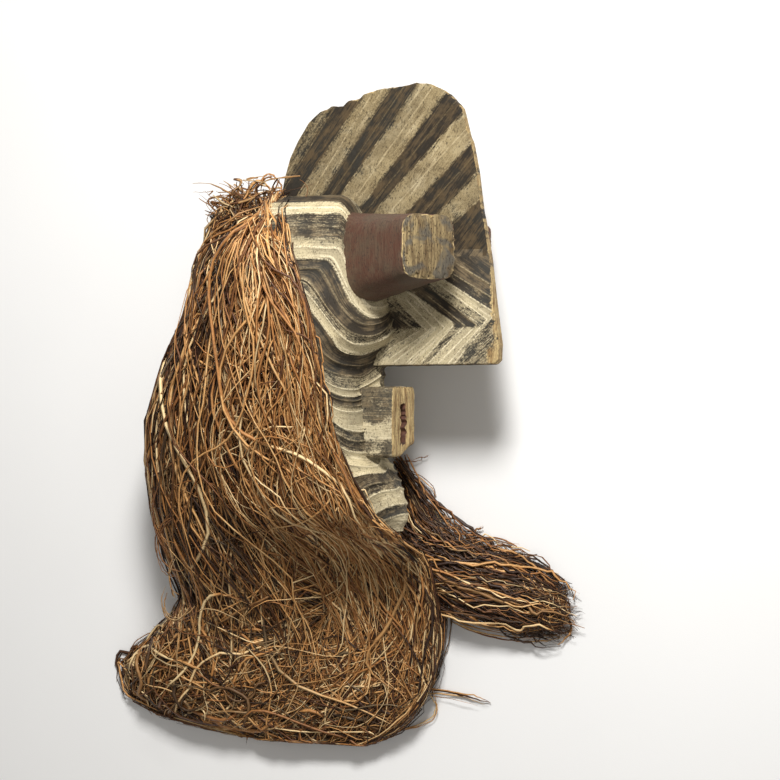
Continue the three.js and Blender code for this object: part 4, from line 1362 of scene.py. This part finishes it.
def strands(name, made, broad_share, middle_tint, replaced=None, dark_root=0.0, finer=1.0):
    """Makes one piece of raffia from the points of all its strands and the painted shade of the folds on
    each.
    """
    points, fold_shades = made
    count = len(points)
    half_widths = widths(count, broad_share) * finer
    tints = np.clip(rng.normal(middle_tint, TINT_SPREAD, count), 0, 1)
    taper = np.interp(np.linspace(0, 1, STRAND_POINTS), [0, 0.06, 0.8, 1], [0.6, 1, 0.9, 0.25])
    placed = np.ones((count, STRAND_POINTS, 4))
    placed[..., :3] = (points + (0, 0, EYE_FLAT)) * MM + mask_low
    placed[..., 0] += np.arange(STRAND_POINTS) * 0.05 * MM  # no two points of a strand may coincide
    twist = rng.normal(0, 0.5, (count, 1)) + np.cumsum(rng.normal(0, 0.22, (count, STRAND_POINTS)), 1)
    data = bpy.data.curves.new(name, "CURVE")
    data.dimensions = "3D"
    data.bevel_mode = "OBJECT"
    data.bevel_object = section
    data.use_fill_caps = True
    data.twist_mode = "Z_UP"
    for i in range(count):
        line = data.splines.new("POLY")
        line.points.add(STRAND_POINTS - 1)
        line.points.foreach_set("co", placed[i].ravel())
        line.points.foreach_set("radius", half_widths[i] * taper)
        line.points.foreach_set("tilt", twist[i])
    drawn = bpy.data.objects.new(name, data)
    bpy.context.scene.collection.objects.link(drawn)
    bpy.context.view_layer.update()
    mesh = bpy.data.meshes.new_from_object(drawn.evaluated_get(bpy.context.evaluated_depsgraph_get()))
    bpy.data.objects.remove(drawn)
    corners = len(mesh.vertices) // count
    places = np.empty(len(mesh.vertices) * 3)
    mesh.vertices.foreach_get("co", places)
    places[2::3] = np.maximum(places[2::3], ON_FLOOR * MM)
    mesh.vertices.foreach_set("co", places)
    marks = np.ones((count, corners, 4))
    root = np.clip(1 - np.linspace(0, 1, corners) / ROOT_SHARE, 0, 1) * dark_root
    marks[..., 0] = tints[:, None]
    # the second mark is painted shade: how deep the strand lies, and more next to its root
    marks[..., 1] = np.clip(fold_shades[:, None] + root, 0, 1)
    mesh.attributes.new("strand", "FLOAT_COLOR", "POINT").data.foreach_set("color", marks.ravel())
    mesh.materials.clear()
    mesh.materials.append(raffia)
    mesh.shade_smooth()
    piece = new_object(name, mesh)
    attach(piece, "root")
    if replaced:
        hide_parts(replaced)
    triangles = sum(len(p.vertices) - 2 for p in mesh.polygons)
    print(name, count, "strands,", corners, "corners each,", triangles, "triangles")


# %% [markdown]
# The strands from the crown start in a tangled tuft and spread over the whole back of the heap. Those
# from the upper rim fall straight from the edge of the face. Most lie on the heap's surface, because that
# is what shows, and the rest fill it down to the floor. The strands from the lower rim lie on the floor
# itself, under all the others.

# %% The fall from the crown and the rim
TUFT = (-32, 404, 34)
TUFT_SIZE = (28, 20, 36)
CROWN_PIECES, CROWN_STRANDS, RIM_STRANDS, LOWER_STRANDS = 3, 1000, 1000, 320
CROWN_LENGTH, CROWN_POOLS = (430, 850), (-175, -110)  # a strand's length, and how low it turns aside
RIM_REST, RIM_LENGTH, RIM_POOLS = (90, 380), (160, 800), (-165, -90)  # the rest lies on the floor
ON_SURFACE = 0.64  # the share of the crown's strands that lie on the heap's surface
TUFT_SORTED = 48  # a strand for the front of the heap starts this much further forward than one for its back


def painted_fold_shade(layer):
    """How much painted shade darkens a strand for lying below the heap's surface."""
    return smooth_many(1.0 - layer, 0.0, 0.22)


def from_root(reach):
    """One at a strand's root and nothing from so many points further on."""
    return np.clip(1 - np.arange(STRAND_POINTS) / reach, 0, 1)[None]


def crown_fall(count):
    share = 0.05 + rng.beta(1.1, 1.0, count) * 0.93
    on_top = rng.random(count) < ON_SURFACE
    layer = np.where(on_top, rng.triangular(0.80, 0.97, 1.03, count), rng.uniform(0.04, 0.85, count))
    angle = rng.uniform(0, 2 * math.pi, count)
    out = np.sqrt(rng.random(count))
    start = np.stack([
        TUFT[0] + TUFT_SIZE[0] * out * np.cos(angle) + TUFT_SORTED * (0.5 - share),
        TUFT[1] + TUFT_SIZE[1] * out * np.sin(angle) - rng.exponential(20, count),
    ], 1)
    side = np.where(rng.random(count) < 0.72 - 0.3 * (share - 0.5), -1, 1)
    points = walk(
        start, rng.normal(-0.3, 0.8, count), rng.uniform(*CROWN_LENGTH, count), share, layer,
        rng.uniform(*CROWN_POOLS, count), side * rng.uniform(1.1, 1.8, count), follow_low=0.2,
    )
    near = from_root(4)
    tuft_right = (TUFT[2] + TUFT_SIZE[2] * (1 - out ** 2) ** 0.5 * rng.uniform(0.2, 1, count))[:, None]
    points[..., 2] = points[..., 2] * (1 - near) + np.minimum(tuft_right, points[..., 2] + 40) * near
    return points, painted_fold_shade(layer)


def rim_fall(count, side=1):
    rim = np.array([rim_at(s) for s in rng.uniform(0.10, 0.97, count)])
    depth = rim_depth(rim[:, 1])
    share = rng.beta(1.0, 2.6, count) * 0.62 if side > 0 else rng.random(count) * 0.95
    start = np.stack([depth + side * rng.uniform(2, 12, count), rim[:, 1] + rng.normal(0, 4, count)], 1)
    length = np.clip(rim[:, 1] + rng.uniform(*RIM_REST, count), *RIM_LENGTH)
    turn = np.where(rng.random(count) < 0.8, -1, 1) * rng.uniform(0.9, 1.9, count)
    layer = rng.uniform(0.90, 1.05, count) if side > 0 else rng.uniform(0.0, 0.03, count)
    heading = rng.normal(0.1, 0.35, count)
    points = walk(start, heading, length, share, layer, rng.uniform(*RIM_POOLS, count), turn)
    first = from_root(2)
    root = np.maximum(side * (rim[:, :1] + 1.0), 2 - EYE_FLAT)
    points[..., 2] = points[..., 2] * (1 - first) + root * first
    return points, painted_fold_shade(layer)


for i in range(CROWN_PIECES):
    fall = crown_fall(CROWN_STRANDS)
    strands(f"crown_fall_{i + 1}", fall, 0.1, 0.53, i == 0 and "raffia_fringe", 0.8)
strands("rim_fall", rim_fall(RIM_STRANDS), 0.08, 0.60)
strands("lower_rim_fall", rim_fall(LOWER_STRANDS, -1), 0.1, 0.45)

# %% [markdown]
# Where the strands reach the floor they turn and lie in a tangle, across each other, with loops standing
# out at its edges. These start anywhere in the pool and run more or less level.

# %% The pool
POOL_STRANDS, POOL_UP, POOL_LENGTH = 560, (-238, -112), (150, 420)
LIES_ALREADY = 400.0  # a strand turns aside below this height, so these do from their start


def pool(count):
    up = rng.uniform(*POOL_UP, count)
    share = rng.random(count)
    forward = column_at(up, share)
    side = np.where(share < 0.5, -1, 1) * np.where(rng.random(count) < 0.8, 1, -1)
    heading = side * rng.normal(1.5, 0.5, count)
    layer = rng.triangular(0.70, 1.0, 1.08, count)
    points = walk(
        np.stack([forward, up], 1), heading, rng.uniform(*POOL_LENGTH, count), rng.random(count),
        layer, np.full(count, LIES_ALREADY), side * rng.uniform(1.2, 2.1, count), 0.2, 0.06,
    )
    return points, painted_fold_shade(layer)


strands("pool", pool(POOL_STRANDS), 0.12, 0.60)

# %% [markdown]
# On the mask's far side a smaller lock has slipped forward past the chin and lies on the floor. Thin
# strands come down to it from the notch under the mouth, more come from under the chin, and they all run
# out forward, nearly level, to a rounded end where many turn back on themselves.

# %% The lock in front of the chin
HANK = np.array([  # share of the way forward, top edge, bottom edge, thickness
    (0, 86, -110, 50), (0.15, 56, -116, 54), (0.35, 14, -122, 54), (0.6, -2, -124, 48), (0.85, -52, -118, 36),
    (1, -84, -110, 14),
], float)
HANK_TIP = 328  # how far forward the hank reaches
HANK_STRANDS = 520
HANK_RIGHT = -112  # how far to the mask's right the hank lies, near enough for its places in the photograph
HANK_ROUTES = [  # x and y of 4 places along each side of a bundle in the photograph, and its share of strands
    ((396, 462, 425, 500, 452, 548, 520, 560), (398, 500, 420, 540, 450, 590, 530, 600), 0.16),
    ((402, 535, 440, 560, 500, 548, 552, 592), (404, 560, 436, 600, 490, 612, 566, 618), 0.30),
    ((408, 560, 440, 610, 500, 640, 556, 640), (420, 556, 450, 580, 520, 585, 568, 622), 0.26),
    ((424, 572, 480, 552, 540, 560, 562, 600), (430, 610, 480, 622, 545, 640, 560, 616), 0.18),
    ((500, 560, 548, 570, 574, 610, 556, 636), (480, 600, 540, 600, 572, 628, 520, 640), 0.10),
]


def places(routes, right):
    """Turns routes in the photograph, as x and y by turns, into points of the mask."""
    return np.array([
        [(*seen_at(x, y, right), right) for x, y in zip(route[::2], route[1::2])] for route in routes
    ])


def hank_right(forward, up, layer):
    root = heap(up, FRONT) - 25
    t = np.clip((forward - root) / (HANK_TIP - root), 0, 1)
    top, bottom, thick = (np.interp(t, HANK[:, 0], HANK[:, i]) for i in (1, 2, 3))
    across = np.clip((up - bottom) / (top - bottom), 0.04, 0.96)
    return thick * np.sqrt(np.sin(math.pi * across)) * layer + 2 - EYE_FLAT


def hank(count):
    parts = []
    for first, second, part in HANK_ROUTES:
        several = int(count * part)
        ends = places((first, second), HANK_RIGHT)
        mix = rng.normal(0.5, 0.32, (several, 1, 1)) + rng.normal(0, 0.14, (several, 4, 1))
        mix = np.clip(mix, -0.1, 1.1)
        parts.append(lerp(ends[0][None], ends[1][None], mix) + rng.normal(0, 5, (several, 4, 3)))
    points = bend(np.concatenate(parts), 7.5)
    count = len(points)
    on_top = rng.random(count) < 0.6
    layer = np.where(on_top, rng.triangular(0.70, 0.95, 1.1, count), rng.uniform(0.05, 0.8, count))
    right = hank_right(points[..., 0], points[..., 1], layer[:, None])
    right += wander(count, STRAND_POINTS, 0.85, 2.2).T
    points[..., 2] = np.maximum(right, 1.5 - EYE_FLAT)
    return points, painted_fold_shade(layer)


strands("hank", hank(HANK_STRANDS), 0.05, 0.44, "raffia_left_hank")

# %% [markdown]
# Last come the loose ends: short strands knotted through the lacing holes, the frizz of the tuft, curls
# that stand out of the tuft and the heap's back, and a few strays on the floor round the pool.

# %% Lacing, frizz and loose ends
STRAYS = [  # x and y of four places in the photograph that each stray passes
    (150, 640, 118, 668, 96, 690, 90, 706), (168, 700, 130, 712, 104, 722, 92, 716),
    (150, 655, 108, 650, 88, 690, 112, 712), (215, 738, 228, 752, 240, 764, 236, 774),
    (300, 745, 262, 762, 250, 758, 222, 756), (370, 700, 420, 702, 470, 704, 492, 712),
    (350, 720, 400, 706, 440, 704, 484, 716), (400, 745, 432, 742, 450, 728, 430, 700),
    (560, 610, 580, 632, 578, 640, 560, 650), (455, 632, 500, 655, 540, 652, 566, 642),
    (430, 600, 450, 640, 500, 640, 548, 648), (470, 545, 500, 535, 530, 548, 536, 576),
    (540, 574, 552, 580, 556, 590, 548, 600), (395, 462, 412, 466, 420, 462, 430, 456),
    (400, 468, 440, 488, 440, 500, 430, 508), (462, 556, 470, 540, 480, 534, 486, 530),
    (180, 690, 150, 728, 120, 730, 106, 733), (200, 700, 170, 728, 150, 730, 128, 722),
]
CURLS = [  # the same for the curls
    (236, 205, 250, 176, 262, 172, 272, 196), (258, 190, 262, 164, 286, 172, 278, 205),
    (229, 226, 201, 267, 185, 312, 186, 339), (225, 240, 200, 290, 192, 310, 200, 332),
    (185, 342, 151, 379, 150, 384, 160, 414), (162, 410, 146, 426, 144, 436, 156, 430),
    (160, 480, 138, 500, 140, 540, 164, 552), (168, 520, 136, 540, 150, 590, 178, 578),
    (172, 600, 160, 590, 158, 572, 166, 560), (186, 610, 170, 640, 150, 620, 160, 600),
    (250, 190, 222, 178, 216, 200, 232, 226), (178, 440, 156, 440, 150, 470, 162, 500),
]
STRANDS_A_HOLE = 4
FRIZZ = 150


def from_photo(paths, right, several, spread):
    controls = np.repeat(places(paths, right), several, 0)
    return controls + rng.normal(0, spread, controls.shape) * (1, 1, 0.5)


def frizz(count):
    """Small curls all over the tuft."""
    middle = np.array(TUFT) + rng.normal(0, 1, (count, 3)) * (20, 12, 14)
    middle[:, 0] -= np.maximum(TUFT[1] - middle[:, 1], 0) * 0.2
    reach = rng.uniform(12, 34, (count, 1, 1))
    controls = middle[:, None] + rng.normal(0, 1, (count, 4, 3)) * reach * (0.8, 0.7, 0.3)
    controls[..., 1] = np.minimum(controls[..., 1], 440)
    controls[..., 2] = np.clip(controls[..., 2], 20, 90)
    return controls


def lacing():
    """A few short strands out of each hole and over the rim."""
    controls = []
    for share in hole_shares:
        for side in (1, -1):
            width, height = rim_at(share)
            depth = rim_depth(height)
            for _ in range(STRANDS_A_HOLE):
                lean = rng.normal(0, 5)
                controls.append([
                    (depth + HOLE_SETBACK, height, side * (width - 2)),
                    (depth + 8, height + lean, side * (width + 9)),
                    (depth - 8, height - 6 + lean, side * (width + 9)),
                    (depth - 26, height - 22 + 2 * lean, side * (width - 6)),
                ])
    controls = np.array(controls)
    controls[..., 2] = np.maximum(controls[..., 2], 2 - EYE_FLAT)
    return controls


sorts = [  # points, and how much the painted fold shade darkens them
    (bend(from_photo(STRAYS, 6 - EYE_FLAT, 2, 2.5), 1.6), 0.0),
    (bend(from_photo(CURLS, 30, 3, 3.5), 1.6), 0.0),
    (bend(frizz(FRIZZ), 1.2), 0.5),
    (bend(lacing(), 0.6), 0.2),
]
points = np.concatenate([sort for sort, _ in sorts])
fold_shades = np.concatenate([np.full(len(sort), depth) for sort, depth in sorts])
points[..., 2] = np.maximum(points[..., 2], 1.5 - EYE_FLAT)
strands("loose_ends", (points, fold_shades), 0.04, 0.5, finer=0.85)
bpy.data.objects.remove(section)

# %% Size of the whole
size = {"cad": [list(v) for v in cad_box], "visual": [list(v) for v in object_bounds()]}
